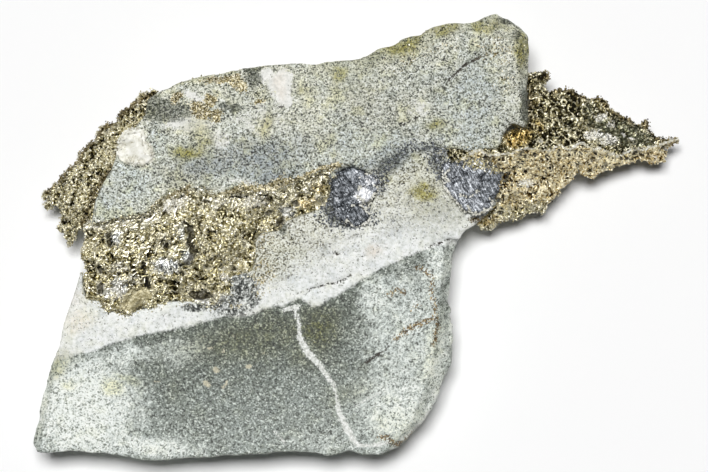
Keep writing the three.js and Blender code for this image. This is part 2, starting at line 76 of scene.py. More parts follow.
# Where the grey host rock ends and the calcite begins, and where the calcite ends and the vein block begins.
CONTACT = [
    (-43.3, -17.7), (-40.5, -17.2), (-37.8, -16.5), (-34.1, -15.2), (-30.5, -14.1), (-27.9, -13.7),
    (-25.8, -13.3), (-22.5, -12.5), (-19.1, -11.5), (-16.8, -11.5), (-14.5, -11.3), (-13.1, -10.4),
    (-10, -9.8), (-7.7, -8.8), (-6, -10), (-4.6, -9.8), (-3, -8.7), (-0.1, -7), (2, -5.7), (3.8, -4.6),
    (6.8, -3.3), (9.5, -2.1), (11.1, -1.7), (13.4, -1.4), (16, -0.6),
]
BLOCK_EDGE = [
    (-37.3, 2.1), (-33.5, 2.4), (-29.5, 3.3), (-27.5, 4.7), (-25.5, 5.5), (-23.3, 6.7), (-19.9, 5.8),
    (-15.3, 6), (-11.1, 6.2), (-7.7, 7.9), (-5.1, 9.1), (-2.6, 9.9), (-0.3, 9.6), (3.7, 8.4), (6.2, 10.2),
    (8.5, 11.8), (11.1, 12.8), (13.1, 12.5), (16.5, 12.2), (20.4, 12.5), (22.4, 16),
]

# Veins, cracks and rusty trails: routes of (x, y, half width).
WHITE_VEINS = [
    [(-10.1, -10.7, 0.23), (-9.1, -10.3, 0.31), (-8.1, -10, 0.31), (-7.7, -10, 0.23)],
    [(-8.3, -10.1, 0.23), (-8.3, -11.1, 0.2), (-7.8, -12.4, 0.23), (-7.8, -14.4, 0.31), (-7.3, -15.3, 0.43),
     (-6.3, -16.9, 0.4), (-5.2, -18.1, 0.4), (-3.9, -19.8, 0.31), (-2.9, -21.3, 0.26), (-2.5, -22.7, 0.21),
     (-2.2, -24.8, 0.31), (-1.6, -26.3, 0.43), (-0.8, -27.8, 0.46), (0, -29.1, 0.34), (0.7, -29.9, 0.23),
     (2.3, -29.9, 0.2), (3.8, -29.6, 0.23), (5, -29.2, 0.17)],
    [(6.7, -28.9, 0.14), (8.6, -27.8, 0.23), (9.8, -26.4, 0.23), (10.8, -25.1, 0.17)],
    [(0.3, -24.2, 0.07), (1.9, -23.2, 0.13), (3.8, -22.3, 0.07)],
    [(-11.3, -27.8, 0.07), (-9.8, -29.6, 0.09)],
]
CRACKS = [
    [(0.6, -19, 0.06), (1.7, -18, 0.14), (3.4, -16.9, 0.19), (4.8, -16.1, 0.13), (4.7, -15, 0.06)],
    [(11.1, 19.5, 0.06), (12.5, 21.2, 0.15), (15.7, 24.2, 0.17), (17.5, 25.2, 0.16), (18.8, 25.7, 0.06)],
    [(6.9, 15.7, 0.1), (7.8, 16.2, 0.06), (9.2, 17, 0.07)],
    [(23.4, 20.8, 0.09), (23.6, 20.1, 0.16), (23.7, 19.2, 0.07)],
    [(-7.4, -8.7, 0.06), (-6.1, -7.6, 0.1), (-4, -6.9, 0.09), (-1.9, -6.5, 0.2), (-0.3, -5.6, 0.11)],
    [(10.1, -1.9, 0.09), (11.3, -1.3, 0.16), (12.4, -0.9, 0.2), (13.7, -0.4, 0.09)],
    [(-16.7, -11.4, 0.04), (-14, -10.9, 0.1), (-12.3, -10.4, 0.07)],
    [(-32.4, 10.4, 0.07), (-30.9, 9.9, 0.17), (-29.9, 10, 0.14), (-29, 10.4, 0.07)],
    [(-11.8, 18.5, 0.06), (-11, 18.2, 0.11), (-10, 18.4, 0.07)],
    [(-2.8, -2.4, 0.06), (-2.3, -2.6, 0.17), (-1.9, -2.7, 0.11)],
    [(1, -2.8, 0.1), (1.6, -3.1, 0.19)],
]
RUSTY_TRAILS = [
    [(8.9, -4.6, 0.21), (10.2, -5, 0.26), (11.2, -6.1, 0.26), (11, -8.4, 0.19), (11.5, -9.8, 0.21),
     (11.5, -11.5, 0.2), (12, -12.8, 0.21), (11.3, -15.6, 0.17)],
    [(5.9, -14.6, 0.28), (7.8, -13.3, 0.34), (9.7, -12.3, 0.28), (11.3, -11.7, 0.28)],
    [(4.9, -8.6, 0.14), (6, -7.5, 0.23), (7.2, -8, 0.14)],
    [(8.4, -10.4, 0.2), (9.3, -9.4, 0.14)],
    [(3.6, -28.6, 0.22), (4.7, -28.9, 0.3), (6.1, -29.7, 0.36), (7, -29.6, 0.32), (8.6, -28.2, 0.28)],
    [(-27.5, 5, 0.17), (-25.8, 5.6, 0.23), (-23.8, 6.7, 0.23), (-23.1, 6.3, 0.17)],
    [(16.5, 2.3, 0.21), (18.5, 2.4, 0.37), (20.7, 3.1, 0.26)],
]

# ---- patches
# Each is (x, y, half length, half width), then its strength and its turn in degrees if they aren't 1 and 0.

ON_STONE = {
    # Paler host rock, and along the wedge's right rim, at (14.2, -9) and (12.6, -22), painted light on rim
    # facets that lie in shade.
    "pale": [
        (-38.8, -24.8, 7.1, 7.1), (-29.1, -30.1, 6.8, 1.4, 0.8, -5), (-35.5, -19.4, 3.7, 1.3, 0.55, -12),
        (7.7, -13.4, 6, 8.8, 0.5), (7.3, -24.5, 6.6, 6.3, 0.62), (-3.4, -29.4, 5.7, 2, 0.3),
        (-41.9, -29.1, 3.7, 2.3, 0.3), (14.2, -9, 0.9, 8, 0.9), (12.6, -22, 1, 5.5, 0.9, -32),
        (6, -26, 4.5, 3, 0.75), (-33.5, -17.4, 4.5, 1.9, 0.52, 12), (11.9, -18.5, 1.8, 6, 0.7, -8),
        (11.8, -4.2, 2.2, 3.2, 0.62), (3.2, -9, 2.4, 3.6, 0.58), (-25.5, -16.5, 4.5, 2.2, 0.3),
    ],
    "cream": [
        (-32.2, -20.4, 1.4, 0.6, 0.8, -10), (-34.3, -21.7, 1.3, 0.7, 1, -20), (-40.3, -21.1, 1, 0.7, 0.6),
        (-42.6, -18.7, 1.1, 0.9, 0.6, 40), (11.4, -16.2, 1.1, 4.3, 0.4, -10), (6, -26.9, 3.7, 2, 0.25),
        (-38.3, -11.7, 2, 1.7, 0.3), (-40.5, -13.4, 1.1, 1.7, 0.3),
    ],
    "fleck": [
        (-20.8, -16.1, 0.7, 0.4), (-18.4, -16, 0.4, 0.4), (-19.4, -19, 0.7, 0.4),
        (-15.5, -18.7, 0.9, 0.3, 1, 14), (-20.8, -21.2, 0.6, 0.6, 1, 30), (-18.2, -20.9, 0.7, 0.3, 0.9, 30),
        (-28.8, -20.7, 0.7, 0.3, 0.8, 10), (-21.8, -14.2, 0.6, 0.3, 0.8), (-17, -14.4, 0.4, 0.3, 0.8),
        (-13.1, -16.5, 0.4, 0.3, 0.7),
    ],
    "olive": [
        (-14.1, -14.5, 8.8, 2.8, 0.5, 8), (-20.1, -15.7, 4.3, 2.3, 0.35), (-5.1, -13.4, 2.8, 3.1, 0.75),
        (-7.7, -16.5, 3.7, 1.7, 0.35, -20), (-41.6, -18, 2.3, 1.1, 0.4, 50),
        (-1.3, -22.7, 3.4, 1.4, 0.3, 20),
        (-25.5, -22.2, 1.4, 1.7, 0.2), (-23.7, 11.8, 2, 0.9, 1, 12), (-21.4, 13.1, 1.1, 0.6, 0.7, 12),
        (-22.3, 14.8, 2, 1.7, 0.35), (-25, 7.9, 1.4, 1.1, 0.3, -30), (-12.3, 16.2, 1, 1.7, 0.45),
        (-6.7, 20.3, 1.4, 1.1, 0.35), (-2.4, 23.1, 1.3, 1.1, 0.6), (0.9, 24.7, 2, 0.9, 0.4),
        (7.2, 27.2, 3.1, 1.1, 1, 25), (4.4, 26.1, 2, 1, 0.6, 20), (12.8, 29.4, 2.3, 0.9, 0.9, 15),
        (18.2, 29.8, 1.9, 1, 0.6, 10), (19.9, 30.4, 1, 0.9, 0.6), (24.1, 26.4, 1.1, 2.6, 1, -8),
        (11.9, 15.9, 1, 0.7, 0.7), (9.9, 6.2, 2, 0.9, 0.85), (-0.6, 20.7, 2.3, 1.4, 0.2),
        (10.6, 5, 4.2, 4.6, 0.3, 20), (13.6, 3.4, 2.4, 2.6, 0.3, 30), (5.5, 26, 6, 1.3, 0.5, 22),
        (9.5, 28.6, 6, 1, 0.5, 18), (-3.4, 23.8, 2.5, 1.5, 0.35),
    ],
    "yellow": [
        (-23.7, 11.8, 1.9, 0.7, 0.8, 12), (-12.3, 15.9, 0.7, 1.7, 0.4), (-21.4, 14.6, 1.4, 1.3, 0.3),
        (-2.4, 23.1, 0.9, 0.7, 0.7), (10.1, 6.2, 1.6, 0.7, 0.8), (23.6, 25.4, 0.7, 1, 0.8),
        (18.2, 29.7, 1.3, 0.6, 0.6), (11.9, 15.9, 0.7, 0.6, 0.5), (7.2, 27, 2.3, 0.6, 0.4, 25),
    ],
    # Dark rock, and at (25.1, 17.9) and (24.6, 18.4) painted shade in the gap between the block's wall and
    # the sheet's root.
    "dark": [
        (-26.7, 17.9, 3, 1.7, 1, -4), (-27.5, 16.9, 2.6, 1, 0.6), (-17.3, 18.4, 2, 0.6, 0.85, -2),
        (-14.2, 23.3, 0.7, 0.7), (-14, 22, 0.9, 0.9, 0.9), (-12.5, 21, 0.9, 0.6, 0.4),
        (22, 30.6, 1.2, 0.8, 0.8, -32), (23.1, 28.1, 0.7, 0.6, 0.9), (25.1, 17.9, 0.7, 2),
        (-7.7, 19.3, 0.7, 1.4, 0.25), (-10.5, 1.4, 0.9, 1.1, 0.7, -15), (-15.9, -7.7, 2.3, 2, 0.35),
        (-20.7, -9.9, 1.9, 0.7, 0.6, 10), (18.4, 4.3, 1.1, 0.7, 0.9), (11.8, 10.4, 1.9, 0.8, 0.6, -60),
        (5.6, 10.7, 2.2, 0.7, 0.65, 48), (-2.9, 3.6, 1.1, 1.9, 0.75), (-0.3, 2, 2.2, 0.8, 0.8),
        (24.6, 18.4, 0.9, 2.7), (4.6, 9.8, 1.6, 0.4, 0.6, 50), (6.6, 11.4, 1.6, 0.35, 0.6, 40),
        (-28.6, 18.6, 1.2, 0.8), (-25.2, 18.3, 1.6, 0.9),
    ],
    "slate": [
        (-13.1, 11.1, 4.8, 2.6), (-19.7, 10.4, 5.7, 1.9, 0.9, 14), (-7.7, 12.5, 3.1, 1.7, 0.5, 20),
        (1.1, 9.6, 4.3, 1, 0.75), (5.4, 11.9, 2.3, 1.3, 0.7, 40), (8.7, 13.3, 2, 1, 0.5, 30),
        (-1.3, 13.6, 4.3, 1.7, 0.3), (-33.2, 5.8, 3.1, 2.6, 0.15, 40), (0.9, 8.3, 2.4, 1.4, 0.5),
        (-27.5, 15.3, 1.7, 0.9, 0.3), (3.7, 17.5, 5.5, 5, 0.3), (16.5, 18.6, 6.5, 6.5, 0.32),
        (5.6, 10.7, 2.8, 1.2, 0.9, 48), (9.6, 12.9, 2.6, 0.8, 0.9, 18), (11.8, 10.4, 2, 1.3, 0.8, -60),
        (-2.3, 8.6, 1.5, 1.1, 0.8), (3.2, 7.8, 0.9, 1.8, 0.8), (13, 3.6, 3, 3.4, 0.25, 30),
        (-20.1, 9.7, 3.9, 1.2, 1, 4), (-11.9, 9.7, 2.8, 2.4, 0.9), (-2.8, 3.6, 0.9, 1.6, 0.9),
        (-0.6, 2.2, 1.8, 0.8, 0.9, -10), (-2.8, 5.2, 0.8, 1.2, 0.8), (4.6, 9.8, 1.6, 0.7, 1, 50),
        (6.6, 11.4, 1.7, 0.7, 1, 40), (11.9, 11, 1.4, 1.6, 0.9),
    ],
    "white": [
        (-10.4, 21.1, 1.4, 2.4), (-12.5, 22.7, 1.1, 0.9, 0.9, 20), (-9.8, 19.3, 1.1, 1, 0.9),
        (-22.6, 20, 1.9, 0.6, 0.6, -8), (-25.3, 16, 2, 0.7, 0.6, 20), (-15.5, 16.7, 2, 0.9, 0.35),
        (9.5, 18.2, 2.2, 1.2, 0.36), (7.7, 17.3, 1.1, 0.7, 0.3), (-21.1, 15.8, 2, 0.9, 0.35, 10),
        (-16.2, 7.5, 2.6, 0.6, 0.35), (-23.6, 15.5, 3.2, 1.2, 0.45), (-12.6, 16.5, 4.8, 2.8, 0.3),
        (-19, 13.8, 2.1, 1.5, 0.4),
    ],
    "pink": [
        (3.1, -2.1, 1.3, 0.9, 1, 25), (-39.3, -12.2, 2, 1.3, 0.6), (-10.5, 21.3, 0.7, 2, 0.5),
        (-39.7, -9.1, 1.4, 1.4, 0.4),
    ],
    "marbled": [
        (-16, -7.5, 2.1, 1.8), (-17.9, -9.2, 1.4, 1, 0.8), (-21.4, -10.1, 2.6, 0.7, 0.8, 4),
        (-14.1, -9.4, 1, 0.9, 0.6), (-17.2, -10.8, 2.4, 0.7, 0.6, 8),
    ],
    "cool": [
        (-33, 6.5, 3.4, 3.9), (-27.9, 13.9, 1.2, 2.2), (-13.3, 10.4, 9.5, 3.2, 0.8),
        (1.6, 12.2, 5.5, 2.8, 0.9, 10), (16.5, 18.6, 4.5, 6.5, 0.9),
    ],
}
GLINTING = [
    (-18.6, 22.4, 3.2, 0.7, 1, 5), (-16.5, 21.4, 1.6, 0.9, 1, -25), (-21.9, 18, 1.7, 1.4, 1, -35),
    (-19.4, 17.2, 1.1, 0.9, 0.8), (-20.3, 19.6, 1.1, 0.9, 0.9, 30), (-25.1, 19.9, 1, 0.7, 0.9),
    (-13.3, 18.9, 0.9, 0.4, 0.7), (-28.9, 20.3, 1.1, 0.9, 0.6, 30), (9.4, 25.7, 7.8, 1.7, 0.3, 18),
    (20, 26.4, 3.4, 2.6, 0.4), (21.4, 22.1, 2.6, 2, 0.35), (-7.7, 7.2, 8.5, 1.1, 0.9, 4),
    (-11.9, 5.7, 4.8, 1.1, 0.9, 5), (-13.1, -0.6, 1.7, 3.1, 0.45), (-13.1, -5.5, 2, 3.1, 0.45),
    (-16.9, -10.2, 2, 0.7, 0.4, 10), (2.6, 9.1, 4.3, 0.7, 0.2), (-28.9, 3, 4.3, 0.6, 0.5, 15),
    (17.9, 11.9, 4.3, 0.7, 0.3, 10), (13.6, 11.9, 2, 0.6, 0.6),
]
PEPPERED = [
    (-12.3, -2.2, 3.2, 4.6), (-9, 2.5, 2.5, 1.2, 0.8, 30),
]
CRUMBLED = [
    (12.4, 10.3, 1.3, 1.6, 0.9), (11.8, 11.7, 1.2, 0.7, 0.8), (-3.4, 4.4, 1, 1.6, 0.9),
    (-1.3, 2.3, 2.6, 0.9), (2.4, 2.8, 0.9, 0.9, 0.7), (3.7, 7.9, 0.7, 1.4, 0.5),
    (5.6, 10.7, 2.8, 0.45, 0.8, 46),
    (9.6, 12.8, 1.8, 0.4, 0.5, 15), (-2.2, 7.4, 1, 1.2, 0.8),
]

ON_SILVER = {
    "bluish": [
        (-9.5, 3.5, 1.5, 0.9, 0.7, -10), (-26.4, -4.3, 2.2, 1.2, 0.8), (-24.1, -2.7, 0.7, 0.7, 0.9),
        (-33.7, -0.4, 0.8, 1, 0.8, 15), (-33.4, -7.2, 1.7, 1.3, 0.6), (-31.4, -6.2, 1, 1, 0.45),
        (-35, -8, 1, 1, 0.5), (-21.5, -9.6, 1.9, 0.8, 0.7), (-18, -9.2, 1.4, 0.9, 0.8),
        (-24.6, 0.4, 0.6, 1.4, 0.5), (-8.8, 3.4, 0.7, 0.6, 0.5), (24.6, 7.4, 1, 0.6, 0.9, 10),
    ],
    "tan": [
        (-31, -9, 2, 1.1, 1, 38), (-32, -9.9, 1.5, 0.7, 0.9, 10), (-29.3, -7.9, 1.1, 0.8, 0.8, 40),
    ],
    # White crust, and at (-14, 4.8) painted light where the crust's slope below the block lies in shade.
    "whitened_and_lit": [
        (-25.5, 4.6, 2, 0.9, 1, 15), (-36.1, 1.4, 1.7, 0.6, 0.5), (-31.9, 2, 2.3, 0.6, 0.4, 10),
        (-19.8, 5.1, 2.8, 0.6, 0.4), (-18.3, -6, 0.7, 0.5, 1, -30), (35.5, 17, 0.9, 0.6, 0.8),
        (36.9, 16, 0.6, 0.4, 0.8, 20), (34.1, 14.5, 1.2, 0.7, 1, 10), (36.4, 13.7, 1.2, 0.7),
        (38.6, 14.6, 0.4, 0.3, 0.9), (39.7, 13.9, 0.4, 0.3, 0.9), (26.6, 13.3, 0.6, 0.4, 0.5),
        (24.7, 7.6, 0.9, 0.6), (43.3, 11.5, 0.6, 0.3, 0.5), (-33.4, -4.6, 2, 1, 0.42),
        (-33.8, -7.9, 1.7, 1.4, 0.42), (-14, 4.8, 2.6, 1.1, 0.45, 5),
    ],
    "orange": [
        (-6.4, 4.8, 1.6, 0.7, 0.5, 10), (-4.8, 6.8, 1.4, 0.7, 0.5), (-23.9, 6.1, 0.9, 0.6, 0.6),
        (-26.9, 5.3, 0.7, 0.4, 0.6, 20), (-36.1, 0.6, 0.9, 0.9, 0.4), (23.3, 14.1, 2.3, 1.4, 1, 20),
        (26.2, 15.4, 1.1, 1.4, 0.6), (20.9, 7.4, 0.9, 0.9, 0.5), (18.6, 2.4, 2.3, 0.6, 0.7, 5),
        (25.9, 19.3, 1.1, 2.3, 0.3), (31.4, 11.2, 1.1, 0.6, 0.3), (42.8, 11.5, 1.7, 0.9, 0.5),
    ],
    "olive_skin": [
        (37.6, 14.6, 5.4, 2, 1, -16), (33.8, 17.8, 2.3, 1.1, 0.5, -30), (30.9, 15.5, 1.7, 1.1, 0.4),
    ],
}
HOLES = [
    (-36.1, -4.8, 0.52, 0.83, 0.8), (-36.1, -7.4, 0.52, 0.83, 0.8), (-34.6, -1, 0.63, 0.73, 0.68),
    (-26.7, -1.4, 0.42, 0.73, 0.68, 10), (-21.3, -7, 0.42, 0.42, 0.76), (-17, -4.6, 0.42, 0.42, 0.8),
    (-18.8, -4.4, 0.42, 0.42, 0.6), (-20.8, -4.4, 0.42, 0.42, 0.6), (-24.4, -5.3, 0.42, 0.42, 0.68),
    (-21.9, -8.5, 1.77, 0.63, 0.8, -4), (-10.5, 1.6, 0.63, 1.15, 0.76, -20), (-15.5, -1.3, 0.42, 0.42, 0.44),
    (-9.1, 4, 0.63, 0.42, 0.52), (32.7, 12, 0.63, 0.42, 0.64), (36.8, 10.9, 0.42, 0.52, 0.64),
    (41.4, 12.4, 0.42, 0.31, 0.54), (21, 3.5, 0.52, 0.63, 0.64), (27.8, 9.8, 0.42, 0.42, 0.42),
    (23.8, 6, 0.42, 0.63, 0.48), (26.1, 8.6, 0.42, 0.42, 0.42), (29, 7.2, 0.42, 0.42, 0.42),
    (41, 11.2, 0.42, 0.31, 0.42), (29.8, 9.2, 0.42, 0.42, 0.42), (32, 10.2, 0.63, 0.63, 0.48),
    (-34.8, -0.6, 0.43, 0.96, 0.8, 15), (24, 4.7, 0.43, 0.39, 0.51), (22.6, 7.1, 0.39, 0.35, 0.51),
    (29.2, 11.9, 0.43, 0.52, 0.51), (34.2, 10.9, 0.57, 0.48, 0.51), (20.9, 3.3, 0.61, 0.43, 0.64),
    (-27.3, -1, 0.3, 0.7, 0.64, -20), (-11.9, 3.2, 0.7, 0.5, 0.65), (-8.3, 4.6, 0.6, 0.5, 0.65),
    (-4.8, 5, 1.2, 0.8, 0.42), (-3, 5.8, 0.8, 1, 0.5), (-37, -1.5, 1, 1, 0.3), (-32.4, -1.6, 1.5, 0.6, 0.25),
]

# ---- lines on the silver

CLEFTS = [
    [(-24.2, 2, 0.2), (-23.4, 1.1, 0.36), (-23.3, -0.6, 0.46), (-22.9, -2.5, 0.46), (-23.6, -3.5, 0.38),
     (-24.5, -4.2, 0.25)],
    [(-29.7, -3.5, 0.22), (-29.9, -4.8, 0.45), (-29.4, -6.5, 0.36), (-29.3, -7.3, 0.2)],
]

# The crest that parts the right sheet's upper side, painted dark as shade, from its front, painted bright as
# lit, then its edge and its root.
RIDGE = [
    (13.8, 10.4), (14.9, 10.6), (15.5, 11.1), (16.2, 10.8), (16.7, 11.8), (17.5, 12.1), (18.2, 12.1),
    (18.9, 11.6), (19.6, 11.4), (20.4, 11.6), (21.6, 11.6), (22.7, 11.9), (23.4, 12.3), (24.1, 12.5),
    (25, 12.4), (26, 12.3), (27.1, 12.2), (28.2, 12.2), (28.9, 12.8), (29.7, 12.9), (30.4, 12.3),
    (31.2, 12.5), (31.8, 13.1), (32.5, 13.3), (33.3, 12.8), (34.1, 12.3), (34.9, 12.5), (35.8, 12.1),
    (36.8, 11.8), (37.7, 11.5), (38.7, 11.8), (39.6, 12.3), (40.4, 12.6), (41.3, 12.3), (42, 12.5),
    (42.9, 12.8), (44, 13.1), (45, 13.5), (46.6, 13.9),
]
SHEET_TOP_EDGE = [
    (27.6, 23.6), (27.6, 20.8), (30.8, 20.7), (32.9, 19.8), (35.6, 19.7), (36.3, 18), (38.6, 16.8),
    (41.9, 16.1), (43.2, 14.1), (46.2, 13.7),
]
SHEET_ROOT = [
    (25, 22.5), (25.2, 18.5), (25.3, 16.2),
]

# Where silver creeps over the upper end of the galena beside the sheet, and the spray's rim and seats.
CREPT_OVER = [
    (12.5, 10.6), (15, 10.1), (17.2, 9.4), (18.7, 9.3), (21, 8.4),
]
SPRAY_RIM = [
    (-29.1, 20.1), (-30.8, 19.3), (-33.1, 17.4), (-35, 16), (-36.5, 14.4), (-38.3, 12.8), (-39.4, 10.7),
    (-40.7, 9.6), (-42.1, 7.9), (-44, 6.4),
]
SPRAY_FOOT = [
    (-33.3, 13.4), (-33.5, 11.1), (-35.5, 8.6), (-36.8, 6.6), (-37.7, 4.3), (-38.8, 1.7),
]
SPRAY_TOP_SEAT = [
    (-30.2, 16.8), (-29.7, 18.3), (-29.4, 19.6),
]


# ---- measuring on the drawing

def outside(points, routes):
    """Distance outside a set of stripes along routes of (x, y, half width); negative inside a stripe."""
    nearest = np.full(len(points), 99.0)
    for route in routes:
        for start, end in zip(np.array(route[:-1]), np.array(route[1:])):
            run = end - start
            share = np.clip((points - start[:2]) @ run[:2] / (run[:2] @ run[:2]), 0, 1)
            gap = np.linalg.norm(points - start[:2] - share[:, None] * run[:2], axis=1)
            nearest = np.minimum(nearest, gap - (start[2] + share * run[2] if len(start) > 2 else 0))
    return nearest


def above(points, line):
    """Signed distance from a line that runs from left to right: positive on its upper side."""
    xs, ys = np.array(line).T
    return np.where(points[:, 1] > np.interp(points[:, 0], xs, ys), 1.0, -1.0) * outside(points, [line])


def laid_out(x, y, long, wide, strength=1.0, turn=0.0):
    """A patch's middle, half length, half width and strength, and the cosine and sine of its turn."""
    return x, y, long, wide, strength, math.cos(math.radians(turn)), math.sin(math.radians(turn))


def patches(points, places):
    """Strength of a set of soft patches at each drawing point."""
    strongest = np.zeros(len(points))
    for x, y, long, wide, strength, c, s in [laid_out(*place) for place in places]:
        dx, dy = points[:, 0] - x, points[:, 1] - y
        reach = ((dx * c + dy * s) / long) ** 2 + ((dy * c - dx * s) / wide) ** 2
        strongest = np.maximum(strongest, strength * np.exp(-0.7 * reach ** 1.5))
    return strongest


def smooth(value, low, high):
    t = np.clip((value - low) / (high - low), 0, 1)
    return t * t * (3 - 2 * t)


def frayed(points, size, reach, seed):
    """Drawing points pushed about by a slow swirl, so that patches read at them have ragged outlines."""
    swirl = [noise.noise_vector(Vector((x / size, y / size, seed))) for x, y in points.tolist()]
    return points + reach * np.array(swirl)[:, :2]


def lengths_along(route):
    """Distance along a route from its start to each of its points."""
    return np.concatenate([[0], np.cumsum(np.linalg.norm(np.diff(route, axis=0), axis=1))])


def places_along(route, marks):
    """Places on a route at the given distances from its start."""
    lengths = lengths_along(route)
    return np.stack([np.interp(marks, lengths, np.array(route)[:, axis]) for axis in (0, 1)], 1)


def pits_along(route, count, seed):
    """Small pits below a crest line, as places for patches."""
    draw = np.random.default_rng(seed)
    end = lengths_along(route)[-1]
    marks = draw.uniform(0.15, 1, count) * end
    sizes = draw.uniform(0.3, 0.62, (count, 2))
    below = draw.uniform(0.3, 1.0, count) ** 2 * np.interp(marks, [0, 0.6 * end, end], [4.0, 3.0, 1.2])
    pits = []
    for (x, y), drop, (long, wide) in zip(places_along(route, marks), below, sizes):
        turn, strength = draw.uniform(0, 180), draw.uniform(0.65, 0.95)
        pits.append((x, y - 0.25 - drop, long, wide, strength, turn))
    return pits


# ---- meshes

def read_skin(mesh):
    """Where the vertices are in millimetres, which way they face, and where they lie on the drawing."""
    points, outward = np.empty(len(mesh.vertices) * 3), np.empty(len(mesh.vertices) * 3)
    mesh.vertices.foreach_get("co", points)
    mesh.vertices.foreach_get("normal", outward)
    points = points.reshape(-1, 3) / MM
    return points, outward.reshape(-1, 3), points[:, :2] - DRAWING_SHIFT


def place_vertices(mesh, points):
    mesh.vertices.foreach_set("co", (points * MM).astype(np.float32).ravel())
    mesh.update()


def note(mesh, **columns):
    """Stores numbers for every vertex, for the finishes to read."""
    for name, values in columns.items():
        layer = mesh.attributes.new(name, "FLOAT", "POINT")
        layer.data.foreach_set("value", np.asarray(values, np.float32))


def noted(mesh, name):
    """What was noted for every vertex; a mesh without such a note counts as plain skin."""
    values = np.full(len(mesh.vertices), PLAIN.get(name, 0.0), np.float32)
    if name in mesh.attributes:
        mesh.attributes[name].data.foreach_get("value", values)
    return values


def new_piece(name, mesh):
    piece = bpy.data.objects.new(name, mesh)
    bpy.context.scene.collection.objects.link(piece)
    return piece


def fine_copy(node, name, skin):
    """A copy of a solid with an even, fine skin."""
    shape = bmesh.new()
    shape.from_mesh(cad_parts[node].data)
    bmesh.ops.remove_doubles(shape, verts=shape.verts, dist=0.001 * MM)
    mesh = bpy.data.meshes.new(name)
    shape.to_mesh(mesh)
    shape.free()
    piece = new_piece(name, mesh)
    give_skin(piece, skin)
    return piece


def give_skin(piece, size):
    remesh = piece.modifiers.new("skin", "REMESH")
    remesh.mode = "VOXEL"
    remesh.voxel_size = size * MM
    remesh.use_smooth_shade = True
    scene_graph = bpy.context.evaluated_depsgraph_get()
    mesh = bpy.data.meshes.new_from_object(piece.evaluated_get(scene_graph))
    piece.modifiers.clear()
    rough = piece.data
    piece.data = mesh
    bpy.data.meshes.remove(rough)
    mesh.name = piece.name


def faces_of(piece):
    """The faces of a piece, for finding what lies next to a point."""
    faces = [list(face.vertices) for face in piece.data.polygons]
    return BVHTree.FromPolygons(read_skin(piece.data)[0].tolist(), faces)


def finish_piece(piece, slot, *nodes):
    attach(piece, "root")
    if nodes:
        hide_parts(*nodes)


# ---- relief

def relief(height):
    """Turns the height at one point into the heights at many."""
    return lambda points, *form: np.array([height(Vector(point), *form) for point in points.tolist()])


@relief
def crumpled(point, size, seed):
    """Ridges of crumpled metal about as wide as size, from 0 in the valleys to 1 on the crests."""
    place = point / size + Vector((seed, seed * 0.7, 0))
    warp = noise.noise_vector(place * 0.8) * 0.45
    return 1 - abs(noise.noise(place + warp)) * 2


@relief
def beaded(point, size, seed):
    """Close-packed beads about as wide as size: 1 at their tops, 0 between them."""
    nearest = noise.voronoi(point / size + Vector((seed, 0, seed)))[0][0]
    return max(0.0, 1 - 1.3 * nearest * nearest)


@relief
def faceted(point, size, seed):
    """Small flat facets about as wide as size, each tilted its own way, as on broken crystal."""
    place = point / size + Vector((seed, seed, seed))
    centre = noise.voronoi(place)[1][0]
    way = noise.cell_vector(centre * 9.7) * 2 - Vector((1, 1, 1))
    return (place - centre).dot(way) + 0.3 * way.z


@relief
def rough_stone(point, size, octaves, seed):
    return noise.fractal(point / size + Vector((0, seed, seed)), 0.9, 2.0, octaves)


@relief
def pores(point, size, seed):
    """Round pores in some of the cells about as wide as size: 1 in their middles, 0 outside."""
    distances, centres = noise.voronoi(point / size + Vector((seed, seed, 0)))
    open_cell = noise.cell(centres[0] * 7.3) > 0.45
    return max(0.0, 1 - 2.6 * distances[0]) if open_cell else 0.0


# ---- finishes

def tone(red, green, blue):
    """A colour given in screen values, as the shader wants it."""
    channels = (red, green, blue)
    return (*(((c / 255 + 0.055) / 1.055) ** 2.4 if c > 10 else c / 255 / 12.92 for c in channels), 1.0)


